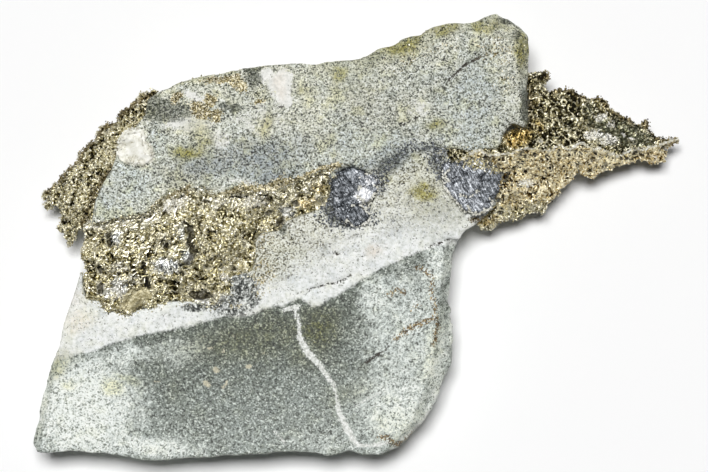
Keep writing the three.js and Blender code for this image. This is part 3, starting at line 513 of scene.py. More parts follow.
class Finish:
    """A material in the making. Each method adds a node and gives back its output. A name stands for what is
    noted under it on the mesh."""

    def __init__(self, name):
        self.material = bpy.data.materials.new(name)
        self.material.use_nodes = True
        self.tree = self.material.node_tree
        self.shader = self.tree.nodes["Principled BSDF"]
        coordinates = self.node("TexCoord", output="Object")
        self.place = self.node("Mapping", {"Vector": coordinates, "Scale": (1 / MM,) * 3})

    def node(self, kind, inputs=None, output=0, **settings):
        made = self.tree.nodes.new("ShaderNode" + kind)
        for key, setting in settings.items():
            setattr(made, key, setting)
        for key, source in (inputs or {}).items():
            if isinstance(source, str):
                source = self.node("Attribute", output="Fac", attribute_name=source)
            if isinstance(source, bpy.types.NodeSocket):
                self.tree.links.new(source, made.inputs[key])
            else:
                made.inputs[key].default_value = source
        return made.outputs[output]

    def noise(self, size, detail=4.0, roughness=0.6):
        return self.node("TexNoise", {"Vector": self.place, "Scale": 1 / size, "Detail": detail,
                                      "Roughness": roughness}, "Fac")

    def grains(self, size):
        """Three random numbers from 0 to 1 for every mineral grain about as wide as size."""
        cells = self.node("TexVoronoi", {"Vector": self.place, "Scale": 1 / size}, "Color")
        return tuple(self.node("SeparateColor", {"Color": cells}).node.outputs)

    def streaks(self, heading, long, wide):
        """Noise drawn out along a heading in degrees."""
        drawn_out = self.node("Mapping", {"Vector": self.place, "Rotation": (0, 0, math.radians(heading)),
                                          "Scale": (long, wide, wide)}, vector_type="TEXTURE")
        return self.node("TexNoise", {"Vector": drawn_out, "Scale": 1.0, "Detail": 4.0,
                                      "Roughness": 0.65}, "Fac")

    def math(self, operation, a, b, clamp=False):
        return self.node("Math", {0: a, 1: b}, operation=operation, use_clamp=clamp)

    def times(self, a, b, clamp=False):
        return self.math("MULTIPLY", a, b, clamp)

    def plus(self, value, other, share):
        """value + share * other"""
        return self.math("ADD", self.times(other, share), value)

    def stirred(self, value, *swings):
        """A value pushed up and down by noises, given as noise, reach, noise, reach and so on."""
        for swing, reach in zip(swings[::2], swings[1::2]):
            value = self.plus(value, self.math("SUBTRACT", swing, 0.5), reach)
        return value

    def rise(self, value, low, high, bottom=0.0, top=1.0):
        """Goes smoothly from bottom to top as the value goes from low to high."""
        return self.node("MapRange", {"Value": value, "From Min": low, "From Max": high, "To Min": bottom,
                                      "To Max": top}, interpolation_type="SMOOTHSTEP")

    def blend(self, share, below, upper, mode="MIX"):
        return self.node("Mix", {0: share, 6: below, 7: upper}, 2, data_type="RGBA", blend_type=mode)

    def stain(self, colour, share, red, green, blue):
        """Darkens each channel of a colour to the given part of its light."""
        return self.blend(share, colour, (red, green, blue, 1.0), "MULTIPLY")

    def ramp(self, value, *stops):
        made = self.tree.nodes.new("ShaderNodeValToRGB")
        self.tree.links.new(value, made.inputs[0])
        elements = made.color_ramp.elements
        while len(elements) < len(stops):
            elements.new(0.5)
        for element, (position, *colour) in zip(elements, stops):
            element.position = position
            element.color = tone(*colour)
        return made.outputs[0]

    def link(self, output, name):
        self.tree.links.new(output, self.shader.inputs[name])

    def bump(self, height, depth):
        bumps = self.node("Bump", {"Height": height, "Distance": depth * MM, "Strength": 1.0}, "Normal")
        self.link(bumps, "Normal")

    def put_on(self, *pieces):
        for piece in pieces:
            piece.data.materials.clear()
            piece.data.materials.append(self.material)


# ---- the stone

def on_top(points):
    """The upper part of the stone, clear of its lower walls."""
    return smooth(points[:, 2], 8.5, 9.5)


def left_lip(place):
    """Where the block's lower lip hangs over the margin of the crust."""
    return smooth(place[:, 0], -38.5, -37) * smooth(-place[:, 0], 26.5, 28.5)


def make_stone():
    stone = fine_copy("matrix", "stone", STONE_SKIN)
    mesh = stone.data
    points, outward, place = read_skin(mesh)
    ragged = frayed(frayed(place, 3.0, 0.9, 1.5), 1.0, 0.4, 7.5)
    above_contact, on_block = above(place, CONTACT), above(place, BLOCK_EDGE)
    face = smooth(outward[:, 2], 0.75, 0.95) * on_top(points)
    foot = smooth(points[:, 2], 0.2, 1.5)
    wall = (1 - face) * foot * (1 - 0.6 * smooth(points[:, 2], 9.5, 11.5))
    etched = smooth(above_contact, 3, 8) * (1 - smooth(on_block, -0.5, 0.5)) * face
    crack = outside(frayed(place, 0.8, 0.12, 3.3), CRACKS)
    silvery_rim = 1 - smooth(np.abs(above(ragged, BLOCK_EDGE)), 0.25, 0.8)
    silvery_rim *= smooth(place[:, 0], -38, -36) * smooth(-place[:, 0], 0.5, 3)
    glinting = np.maximum(patches(ragged, GLINTING), silvery_rim)

    broken = rough_stone(points, 2.4, 4, 3)
    chips = faceted(points, 1.9, 4)
    fine = rough_stone(points, 0.9, 3, 8)
    hummocks = rough_stone(points, 2.6, 3, 6)
    depth = wall * (0.4 * broken + 0.22 * chips + 0.08 * fine)
    depth += face * (0.035 + 0.05 * smooth(on_block, 0, 1)) * fine + etched * 0.2 * fine
    depth += face * smooth(on_block, 0, 2) * 0.16 * hummocks
    depth += face * glinting * 0.22 * fine - 0.3 * smooth(-crack, -0.2, 0.1)
    lip = left_lip(place) * smooth(points[:, 2], 11, 12)
    lip *= smooth(on_block, 0, 0.5) * (1 - smooth(on_block, 1.0, 3.2))
    place_vertices(mesh, points + outward * depth[:, None] + lip[:, None] * np.array([0, -1.1, 0.15]))

    note(mesh, above_contact=above_contact, on_block=on_block, face=face, crack=crack, glinting=glinting,
         weathered=above_contact - 5 * (1 - smooth(place[:, 0], -27, -19)) + 6 * patches(ragged, PEPPERED),
         dusty=np.ones(len(points)),
         white_vein=outside(frayed(place, 0.7, 0.12, 5.1), WHITE_VEINS),
         rusty=outside(frayed(place, 0.7, 0.15, 6.1), RUSTY_TRAILS),
         **{name: patches(ragged, places) for name, places in ON_STONE.items()})
    stone_finish().put_on(stone)
    finish_piece(stone, "stone", "matrix")
    return stone


def stone_finish():
    f = Finish("vein_rock")
    share, pick, tint = f.grains(ROCK_GRAIN)
    clusters = f.noise(0.55, roughness=0.75)
    cloud = f.noise(5.0)
    cloudy = f.noise(2.4, roughness=0.65)
    fray = f.noise(1.1, roughness=0.75)
    soft = f.noise(0.5, roughness=0.7)
    share = f.math("ADD", share, f.stirred(0.0, clusters, 1.2, fray, 0.45), True)
    ragged = f.stirred(1.0, fray, 2.6, pick, 0.7)

    def cover(name, low, high):
        """Where a patch hides the stone, with a ragged, grainy margin."""
        return f.rise(f.times(name, ragged), low, high)

    def stain(rock, name, *light):
        """Stains the rock where a patch lies."""
        return f.stain(rock, f.times(name, ragged, True), *light)

    host = f.ramp(share, (0, 28, 34, 27), (0.12, 64, 71, 61), (0.3, 94, 101, 92), (0.5, 116, 124, 115),
                  (0.7, 138, 146, 139), (0.88, 170, 178, 170), (1, 225, 231, 224))
    lighter = f.ramp(share, (0, 88, 92, 84), (0.1, 138, 144, 136), (0.25, 176, 183, 176),
                     (0.5, 201, 208, 202), (0.75, 217, 223, 217), (1, 236, 241, 235))
    lightest = f.ramp(share, (0, 104, 112, 100), (0.08, 168, 174, 162), (0.22, 212, 216, 206),
                      (0.45, 235, 240, 233), (0.7, 244, 248, 242), (1, 253, 255, 250))
    host = f.stain(host, f.rise("above_contact", -15.0, -3.0), 0.80, 0.80, 0.77)
    host = f.blend(f.rise("above_contact", -4.0, -20.0, 0.0, 0.3), host, lighter)
    # Pale patches: paler host rock, and painted light along the wedge's right rim.
    host = f.blend(cover("pale", 0.05, 0.5), host, lighter)
    host = f.blend(cover("pale", 0.45, 0.85), host, lightest)

    calcite = f.ramp(soft, (0.32, 202, 204, 197), (0.43, 228, 231, 226), (0.52, 242, 244, 241),
                     (0.64, 253, 254, 253))
    calcite = f.stain(calcite, f.rise(share, 0.03, 0.0), 0.35, 0.35, 0.32)
    peppered = f.ramp(share, (0, 24, 19, 2), (0.08, 72, 67, 40), (0.2, 146, 143, 119), (0.38, 201, 200, 184),
                      (0.6, 220, 221, 209), (0.85, 235, 236, 226), (1, 247, 248, 240))
    calcite = f.blend(f.rise(f.stirred("weathered", cloud, 9.0, pick, 3.5), 2.5, 10), calcite, peppered)

    block = f.ramp(share, (0, 16, 18, 9), (0.08, 66, 68, 52), (0.22, 136, 139, 121), (0.42, 190, 191, 173),
                   (0.62, 214, 214, 197), (0.85, 232, 232, 217), (1, 250, 251, 241))
    rock = f.blend(f.rise(f.stirred("above_contact", fray, 1.6), -0.3, 0.3), host, calcite)
    rock = f.blend(f.rise(f.stirred("on_block", fray, 5.0, pick, 1.5), -1.3, 1.3), rock, block)

    bluish = f.times(f.rise(cloud, 0.42, 0.62, 0.0, 0.6), f.rise("on_block", -3, 0, 0.3))
    yellowish = f.times(f.rise(cloudy, 0.5, 0.34, 0.0, 0.8), f.rise("on_block", -6, 0, 0.3))
    greyish = f.times(f.rise(cloudy, 0.52, 0.7, 0.0, 0.7), f.rise("above_contact", -0.5, 1.5, 0.25))
    rock = f.stain(rock, bluish, 0.90, 0.94, 1.0)
    rock = f.stain(rock, yellowish, 0.99, 0.97, 0.78)
    rock = f.stain(rock, greyish, 0.78, 0.80, 0.83)

    rock = stain(rock, "cool", 0.955, 1.0, 1.07)
    rock = stain(rock, "slate", 0.55, 0.57, 0.61)
    slate_specks = f.times(f.times("slate", ragged, True), f.rise(share, 0.55, 0.15))
    rock = f.stain(rock, slate_specks, 0.34, 0.35, 0.38)
    milky = f.ramp(soft, (0.34, 214, 214, 208), (0.5, 234, 234, 228), (0.64, 249, 248, 243))
    rock = f.blend(cover("white", 0.2, 0.5), rock, milky)
    rock = stain(rock, "olive", 0.52, 0.49, 0.24)
    rock = stain(rock, "yellow", 1.0, 0.95, 0.58)
    rock = stain(rock, "cream", 1.0, 0.97, 0.76)
    # Dark patches: dark rock, and painted shade in the gap beside the sheet's root.
    dark = f.times(cover("dark", 0.25, 0.55), f.rise(share, 0.95, 0.35, 0.65))
    rock = f.stain(rock, dark, 0.17, 0.185, 0.155)
    rock = stain(rock, "pink", 0.95, 0.87, 0.80)
    marble = f.ramp(f.noise(0.5, 5, 0.85), (0.42, 12, 15, 13), (0.48, 74, 78, 73), (0.53, 150, 153, 147),
                    (0.58, 242, 245, 240))
    rock = f.blend(cover("marbled", 0.22, 0.42), rock, marble)
    rock = f.blend(cover("fleck", 0.5, 0.8), rock, f.ramp(tint, (0, 168, 163, 138), (1, 220, 215, 192)))

    rock = f.blend(f.rise(f.stirred("white_vein", fray, 0.9, pick, 0.28), 0.1, -0.06), rock,
                   f.ramp(soft, (0.35, 168, 171, 163), (0.48, 220, 222, 216), (0.62, 250, 251, 248)))
    rock = f.blend(f.rise(f.stirred("rusty", fray, 1.2, pick, 0.7), 0.04, -0.1), rock,
                   f.ramp(tint, (0, 44, 36, 24), (0.45, 92, 76, 48), (0.75, 150, 128, 88),
                          (1, 210, 192, 150)))
    rock = f.blend(f.rise(f.stirred("crack", fray, 0.7, pick, 0.22), 0.05, -0.05), rock, tone(52, 46, 38))
    rock = f.stain(rock, f.rise("face", 0.5, 0.0, 0.0, 0.5), 0.88, 0.88, 0.83)

    glints = f.times(f.times("glinting", ragged), f.rise("face", 0, 0.6, 0.4))
    metal = f.rise(f.math("SUBTRACT", glints, f.plus(0.1, pick, 0.7)), 0.0, 0.1)
    rock = f.blend(metal, rock, f.ramp(tint, (0, 36, 31, 14), (0.3, 108, 98, 60), (0.6, 188, 176, 134),
                                       (1, 252, 246, 224)))
    f.link(rock, "Base Color")
    f.link(f.times(metal, 0.6), "Metallic")
    f.link(f.rise(share, 0.0, 1.0, 0.55, 0.8), "Roughness")
    f.bump(f.plus(soft, share, 0.3), 0.07)
    return f


# ---- the silver

def make_silver(node, name, skin, bead, seed, depth, embedded):
    """A silver piece: broad folds first, then strands, beads, pores and pits on a finer skin."""
    silver = fine_copy(node, name, ROUGH_SKIN)
    points, outward, place = read_skin(silver.data)
    on_block, lip = above(place, BLOCK_EDGE), left_lip(place)
    swell = (0.45 * embedded(place) - 0.18) * (1 - smooth(outward[:, 2], 0.3, 0.8))
    climb = (1 - smooth(np.abs(on_block), 0.6, 1.9)) * smooth(points[:, 2], 10, 12.3)
    climb *= smooth(place[:, 0], -37, -35) * (1 - lip) * smooth(-place[:, 0], -20.5, -18.5)
    climb -= lip * smooth(on_block, -0.5, 0.1) * smooth(points[:, 2], 10, 12.3)
    folds = 0.8 * (crumpled(points, FOLD, seed) - 0.6)
    points += outward * (folds + swell)[:, None] + climb[:, None] * np.array([0, 0.15, 0.75])
    place_vertices(silver.data, points)
    give_skin(silver, skin)

    mesh = silver.data
    points, outward, place = read_skin(mesh)
    ragged = frayed(place, 1.0, 0.35, 2.5)
    lain = {name: patches(ragged, places) for name, places in ON_SILVER.items()}
    hole = np.maximum(patches(ragged, PITS), smooth(-outside(ragged, CLEFTS), -0.25, 0.15))
    hole *= smooth(outward[:, 2], -0.2, 0.4)
    smoothed = np.maximum(lain["tan"], 0.6 * lain["olive_skin"])
    pitted = pores(points, 0.85, seed + 3) * (1 - smoothed)
    rim = smooth(hole, 0.03, 0.25) * (1 - smooth(hole, 0.25, 0.6))
    rim = np.maximum(rim, 0.6 * smooth(pitted, 0, 0.15) * (1 - smooth(pitted, 0.15, 0.4)))
    strands = crumpled(points, 0.85, seed + 5)
    webs = crumpled(points, 0.5, seed + 9)
    beads = beaded(points, bead, seed + 11)
    height = 0.5 * smooth(strands, 0.45, 0.98) + 0.3 * smooth(webs, 0.5, 1) + 0.35 * beads
    height -= 0.55 * depth * smooth(pitted, 0.1, 0.8)
    lift = 0.4 * depth * (height - 0.55) * (1 - 0.8 * smoothed) + 0.15 * rim - 0.9 * hole
    place_vertices(mesh, points + outward * lift[:, None])

    # The crest note sets how light the silver is painted: painted shade in the hollows, pores and broad
    # folds and a painted highlight on the crests and pit rims, over the silver's own brownish tarnish.
    creases = 0.3 * (crumpled(points, FOLD, seed) - 0.57)
    # Painted light lifted onto the silver from x -25 to x 2, where the crust's slope below the block lies in
    # shade.
    painted_light_lift = 0.07 * smooth(place[:, 0], -27, -23) * (1 - smooth(place[:, 0], 0, 4))
    upper, dusty = np.full(len(points), PLAIN["upper"]), np.zeros(len(points))
    if node == "silver_right_sheet":
        upper = above(place, RIDGE)
    if node == "silver_front_crust":
        dusty = smooth(above(place, BLOCK_EDGE), -3.4, -0.6)
    note(mesh, crest=np.clip(0.55 + depth * (height - 0.55) + 0.4 * rim + creases + painted_light_lift, 0, 1),
         edge=outside(ragged, [SPRAY_RIM, SPRAY_FOOT, SHEET_TOP_EDGE, SHEET_ROOT]),
         hole=hole, upper=upper, dusty=dusty, **lain)
    finish_piece(silver, "silver", node)
    return silver


def spread(host, count, draw, strength):
    """Picks places on the crests of a piece: where they are, which way is out, and the host's vertices."""
    mesh = host.data
    points, outward, _ = read_skin(mesh)
    weight = np.clip(noted(mesh, "crest"), 0.02, 1) ** 2 * smooth(outward[:, 2], -0.6, 0.3)
    weight *= 1 - 0.9 * noted(mesh, "tan")
    weight *= 1 - smooth(noted(mesh, "hole"), 0.1, 0.4)
    weight *= strength * (1 - 0.75 * noted(mesh, "olive_skin"))
    chosen = draw.choice(len(points), count, replace=False, p=weight / weight.sum())
    return points[chosen], outward[chosen], chosen


def joined(name, slot, copies, faces, host, chosen, crest):
    """One mesh of many equal small shapes; each takes what is noted at its place on the host."""
    count, corners = copies.shape[:2]
    stacked = [[corner + turn * corners for corner in face] for turn in range(count) for face in faces]
    mesh = bpy.data.meshes.new(name)
    mesh.from_pydata((copies.reshape(-1, 3) * MM).tolist(), [], stacked)
    mesh.update()
    piece = new_piece(name, mesh)
    taken = {key: np.repeat(noted(host.data, key)[chosen], corners)
             for key in ("upper", "edge", "bluish", "tan", "whitened_and_lit", "orange", "dusty")}
    note(mesh, crest=np.repeat(crest, corners), hole=np.zeros(count * corners),
         olive_skin=np.zeros(count * corners), **taken)
    finish_piece(piece, slot)
    return piece


def turned_frames(outward, draw, heading=None):
    """Three axes for each small shape: at random, or lying on the skin along a heading in degrees."""
    count, astray, tilt = len(outward), 28, 0.5
    if heading is None:
        first, up = draw.normal(size=(2, count, 3))
    else:
        angle = np.radians(heading + astray * draw.normal(size=count))
        first = np.stack([np.cos(angle), np.sin(angle), np.zeros(count)], 1)
        up = outward + tilt * draw.normal(size=(count, 3))
    third = np.cross(first, up)
    third /= np.linalg.norm(third, axis=1)[:, None]
    first /= np.linalg.norm(first, axis=1)[:, None]
    return np.stack([first, third, np.cross(first, third)], 1)


def scatter_grains(host, name, count, seed, size, strength=1.0, slot="silver", heading=None):
    """Faceted grains or flakes, size being their half length, half width and half thickness."""
    shape = bmesh.new()
    bmesh.ops.create_icosphere(shape, subdivisions=1, radius=1.0)
    base = np.array([v.co for v in shape.verts])
    faces = [[v.index for v in face.verts] for face in shape.faces]
    shape.free()
    draw = np.random.default_rng(seed)
    centres, outward, chosen = spread(host, count, draw, strength)
    axes = turned_frames(outward, draw, heading)
    sizes = np.array(size) * draw.uniform(0.45, 1.0, (count, 1)) * draw.uniform(0.7, 1.3, (count, 3))
    shaped = base[None] * (1 + 0.2 * draw.normal(size=(count, len(base), 1))) * sizes[:, None]
    centres += LIFT * outward + draw.normal(size=centres.shape) * np.array([0.1, 0.1, 0.03])
    copies = np.einsum("nvi,nij->nvj", shaped, axes) + centres[:, None]
    return joined(name, slot, copies, faces, host, chosen, draw.uniform(0.35, 1.0, count))


def tube_faces(steps, sides, closed=False):
    """Faces of a tube of rings: capped at both ends, or closed into a hoop."""
    rings = [[ring * sides + corner for corner in range(sides)] for ring in range(steps)]
    pairs = zip(rings, rings[1:] + rings[:1] if closed else rings[1:])
    walls = [[this[b], this[(b + 1) % sides], after[(b + 1) % sides], after[b]]
             for this, after in pairs for b in range(sides)]
    return walls if closed else walls + [rings[0][::-1], rings[-1]]


def full_turn(count):
    """Angles that part a full turn evenly."""
    return np.linspace(0, 2 * math.pi, count, endpoint=False)


def scatter_threads(host, name, count, seed, length, half_width, strength=1.0):
    """Fine curly threads of silver that creep over the skin."""
    steps, sides = 8, 4
    draw = np.random.default_rng(seed)
    centres, outward, chosen = spread(host, count, draw, strength)
    skin = faces_of(host)
    copies = np.zeros((count, steps * sides, 3))
    for number in range(count):
        here, up = Vector(centres[number]), Vector(outward[number])
        way = up.cross(Vector(draw.normal(size=3))).normalized()
        curl, stride = draw.normal() * 0.5, length * draw.uniform(0.5, 1.2) / steps
        width = half_width * draw.uniform(0.7, 1.3)
        for step in range(steps):
            side = way.cross(up).normalized()
            taper = width * (1 - 0.6 * abs(2 * step / (steps - 1) - 1) ** 3)
            for corner, angle in enumerate(full_turn(sides)):
                across = math.cos(angle) * side + math.sin(angle) * up
                copies[number, step * sides + corner] = here + taper * across
            way = (way + side * curl + 0.25 * Vector(draw.normal(size=3))).normalized()
            near, facing, _, _ = skin.find_nearest(here + way * stride)
            here, up = near + facing * (0.5 * half_width + LIFT), facing
            way = (way - up * way.dot(up)).normalized()
    # The threads take the upper end of the crest ramp: painted highlights along them.
    crest = draw.uniform(0.6, 1.0, count)
    return joined(name, "silver", copies, tube_faces(steps, sides), host, chosen, crest)


def crest_wire(host, name, route, radius, seed):
    """A wire of silver that follows a route over its host, thicker and thinner as it goes."""
    draw = np.random.default_rng(seed)
    length = lengths_along(route)[-1]
    step, sides = 0.16, 7
    flat = places_along(route, np.linspace(0, length, int(length / step))) + DRAWING_SHIFT
    flat += 0.09 * draw.normal(size=flat.shape)
    skin = faces_of(host)
    path = []
    for x, y in flat.tolist():
        spot = skin.ray_cast(Vector((x, y, OVERHEAD)), -UP)[0]
        if spot is not None:
            path.append(spot + Vector((0, 0, 0.8 * radius)))
    heights = np.convolve([p.z for p in path], np.ones(5) / 5, "same")
    rings = []
    for number, spot in enumerate(path):
        ahead = (path[min(number + 1, len(path) - 1)] - path[max(number - 1, 0)]).normalized()
        side = ahead.cross(UP).normalized()
        lift = max(heights[number] if 2 < number < len(path) - 3 else spot.z, spot.z) - spot.z
        width = radius * draw.uniform(0.45, 1.6)
        rings.append([spot + Vector((0, 0, 0.6 * lift)) + width * (math.cos(a) * side + math.sin(a) * UP)
                      for a in full_turn(sides)])
    copies, faces = np.array(rings).reshape(1, -1, 3), tube_faces(len(path), sides)
    start = np.argmin(np.linalg.norm(read_skin(host.data)[0][:, :2] - flat[0], axis=1))
    # The wire takes the top of the crest ramp and is half whitened: a painted highlight along the ridge.
    piece = joined(name, "silver", copies, faces, host, np.array([start]), np.array([0.98]))
    for key, value in (("upper", PLAIN["upper"]), ("whitened_and_lit", 0.48)):
        piece.data.attributes[key].data.foreach_set("value", np.full(copies.shape[1], value, np.float32))
    return piece


def pit_rims(host, name, radius, seed):
    """A raised, uneven rim of silver round every pit that lies on the host."""
    steps, sides, gap = 16, 5, 0.08
    draw = np.random.default_rng(seed)
    skin = faces_of(host)
    rims, chosen = [], []
    for x, y, long, wide, _, c, s in [laid_out(*pit) for pit in PITS]:
        middle = Vector((x + DRAWING_SHIFT[0], y + DRAWING_SHIFT[1], OVERHEAD))
        ring = []
        for angle, wobble in zip(full_turn(steps), draw.uniform(0.8, 1.25, steps)):
            dx, dy = (long + gap) * wobble * math.cos(angle), (wide + gap) * wobble * math.sin(angle)
            way = Vector((dx * c - dy * s, dx * s + dy * c, 0))
            spot, _, face, _ = skin.ray_cast(way + middle, -UP)
            if spot is None:
                break
            thick = radius * draw.uniform(0.6, 1.3)
            ring += [spot + thick * (math.cos(a) * way.normalized() + Vector((0, 0, 0.5 + math.sin(a))))
                     for a in full_turn(sides)]
        if len(ring) == steps * sides:
            rims.append(ring)
            chosen.append(host.data.polygons[face].vertices[0])
    # The rims take the top of the crest ramp: a painted highlight round each pit.
    return joined(name, "silver", np.array(rims), tube_faces(steps, sides, True), host, np.array(chosen),
                  draw.uniform(0.8, 1.0, len(rims)))


def silver_finish():
    f = Finish("native_silver")
    share, pick, _ = f.grains(ROCK_GRAIN)
    fine = f.noise(0.25, 3, 0.7)
    lumps = f.noise(0.6, 3, 0.65)
    broad = f.noise(1.8, roughness=0.65)
    ragged = f.stirred(1.0, broad, 2.6, pick, 0.6)

    def cover(name, low, high, most=1.0):
        """Where a patch lies on the silver, with a ragged margin."""
        return f.rise(f.times(name, ragged), low, high, 0.0, most)

    # The height drives a painted ramp from near-black brown in the hollows to near-white on the crests:
    # painted shade and painted highlights over the silver's own brownish tarnish.
    height = f.stirred(f.plus(-0.012, "crest", 1.1), share, 0.3, broad, 0.8, lumps, 1.1)
    metal = f.ramp(height, (0.1, 20, 16, 3), (0.28, 72, 62, 26), (0.44, 138, 128, 86), (0.6, 190, 182, 142),
                   (0.78, 228, 221, 187), (0.95, 250, 246, 227))
    dusted = f.ramp(height, (0.1, 60, 54, 34), (0.35, 142, 136, 108), (0.55, 202, 197, 168),
                    (0.8, 240, 236, 216), (1, 252, 250, 240))
    metal = f.blend(cover("dusty", 0.1, 0.9, 0.75), metal, dusted)
    # The sheet's front below the ridge gets a lit copy of the silver ramp with less metal, and its upper
    # side a painted shade copy.
    front = f.times(f.rise("upper", -8.5, -6.5), f.rise("upper", 0.4, -0.2))
    metal = f.blend(front, metal, f.ramp(height, (0.2, 26, 16, 3), (0.38, 88, 66, 22), (0.54, 160, 137, 80),
                                         (0.69, 222, 205, 152), (0.86, 254, 247, 220)))
    shaded_upper_side = f.ramp(height, (0.2, 26, 22, 7), (0.42, 62, 56, 30), (0.62, 114, 106, 70), (0.78, 196, 186, 142),
                  (0.9, 252, 247, 222))
    orange = cover("orange", 0.15, 0.9)
    upper = f.rise(f.stirred("upper", broad, 1.6), -0.15, 0.35, 0.0, 0.9)
    metal = f.blend(f.times(upper, f.rise(orange, 0.6, 0.0, 0.2)), metal, shaded_upper_side)
    # Darkens the silver along the spray's rim and foot and along the sheet's top edge and root: brown
    # tarnish, with painted shade in the gaps beside the block.
    metal = f.stain(metal, f.rise(f.stirred("edge", broad, 1.6), 0.65, 0.05, 0.0, 0.8), 0.30, 0.24, 0.12)
    streaks = f.stirred(f.streaks(33, 1.6, 0.3), share, 0.25)
    metal = f.blend(cover("olive_skin", 0.25, 0.75, 0.85), metal,
                    f.ramp(streaks, (0.3, 50, 52, 34), (0.5, 92, 95, 74), (0.62, 134, 135, 112),
                           (0.74, 214, 211, 190)))
    metal = f.stain(metal, orange, 0.90, 0.74, 0.42)
    metal = f.blend(cover("bluish", 0.2, 0.7, 0.8), metal,
                    f.ramp(height, (0.2, 60, 65, 70), (0.42, 158, 163, 168), (0.6, 210, 215, 218),
                           (0.8, 250, 251, 250)))
    # Whitened places: white crust, and painted light on the sheet's crest wire and on the crust below the
    # block.
    white = f.times(cover("whitened_and_lit", 0.25, 0.6), f.rise(streaks, 0.4, 0.5))
    metal = f.blend(white, metal, f.ramp(share, (0, 196, 190, 168), (0.4, 244, 241, 230),
                                         (1, 255, 254, 248)))
    tan = cover("tan", 0.2, 0.5, 0.9)
    metal = f.blend(tan, metal, f.ramp(f.stirred(fine, lumps, 0.8), (0.33, 134, 124, 88),
                                       (0.5, 180, 170, 130), (0.66, 222, 216, 184)))
    # Painted shade deep in the pits and clefts.
    hole_shade = f.times(f.rise("hole", 0.12, 0.55), f.rise(share, 0.5, 0.95, 1.0, 0.78))
    metal = f.stain(metal, hole_shade, 0.11, 0.105, 0.09)
    f.link(metal, "Base Color")
    matt = f.math("MAXIMUM", f.math("MAXIMUM", white, tan), f.plus("hole", front, 0.3))
    f.link(f.math("SUBTRACT", 0.85, f.times(matt, 0.75), True), "Metallic")
    f.link(f.math("ADD", f.rise(fine, 0.3, 0.7, 0.32, 0.5), f.rise("hole", 0.1, 0.5, 0.0, 0.5)), "Roughness")
    f.bump(fine, 0.06)
    return f


# ---- galena and calcite

def galena_finish():
    f = Finish("galena")
    share, pick, tint = f.grains(GALENA_GRAIN)
    broad = f.noise(1.1, roughness=0.7)
    streaks = f.streaks(-60, 1.1, 0.2)
    # The streaky sheen paints lit streaks and near-white highlights into the galena's colour; the two ramps
    # are lit and shaded copies of it, blended by the dim note.
    sheen = f.stirred(0.5, share, 0.4, broad, 1.2, streaks, 3.0)
    bright = f.ramp(sheen, (0, 44, 47, 50), (0.2, 84, 88, 92), (0.4, 118, 122, 128), (0.6, 156, 160, 166),
                    (0.8, 198, 203, 209), (1, 238, 241, 245))
    dim = f.ramp(sheen, (0, 18, 20, 23), (0.25, 58, 62, 66), (0.5, 96, 101, 106), (0.75, 138, 143, 149),
                 (1, 216, 219, 224))
    galena = f.blend("dim", bright, dim)
    galena = f.blend(f.rise(f.stirred("grown_white", broad, 2.0, pick, 0.4), 0.3, 0.6), galena,
                     f.ramp(tint, (0, 196, 200, 206), (0.5, 240, 241, 243), (1, 253, 253, 253)))
    f.link(galena, "Base Color")
    f.shader.inputs["Metallic"].default_value = 0.5
    f.link(f.rise(broad, 0.3, 0.7, 0.3, 0.5), "Roughness")
    f.bump(f.plus(streaks, share, 0.3), 0.12)
    return f


def calcite_finish():
    f = Finish("calcite")
    share, _, _ = f.grains(CALCITE_GRAIN)
    body = f.ramp(f.stirred(f.noise(1.2), share, 0.15), (0.35, 214, 211, 196), (0.5, 236, 235, 224),
                  (0.65, 248, 247, 240))
    f.link(f.stain(body, f.rise(share, 0.06, 0.0), 0.6, 0.57, 0.5), "Base Color")
    f.shader.inputs["Roughness"].default_value = 0.5
    f.bump(f.noise(0.4), 0.06)
    return f


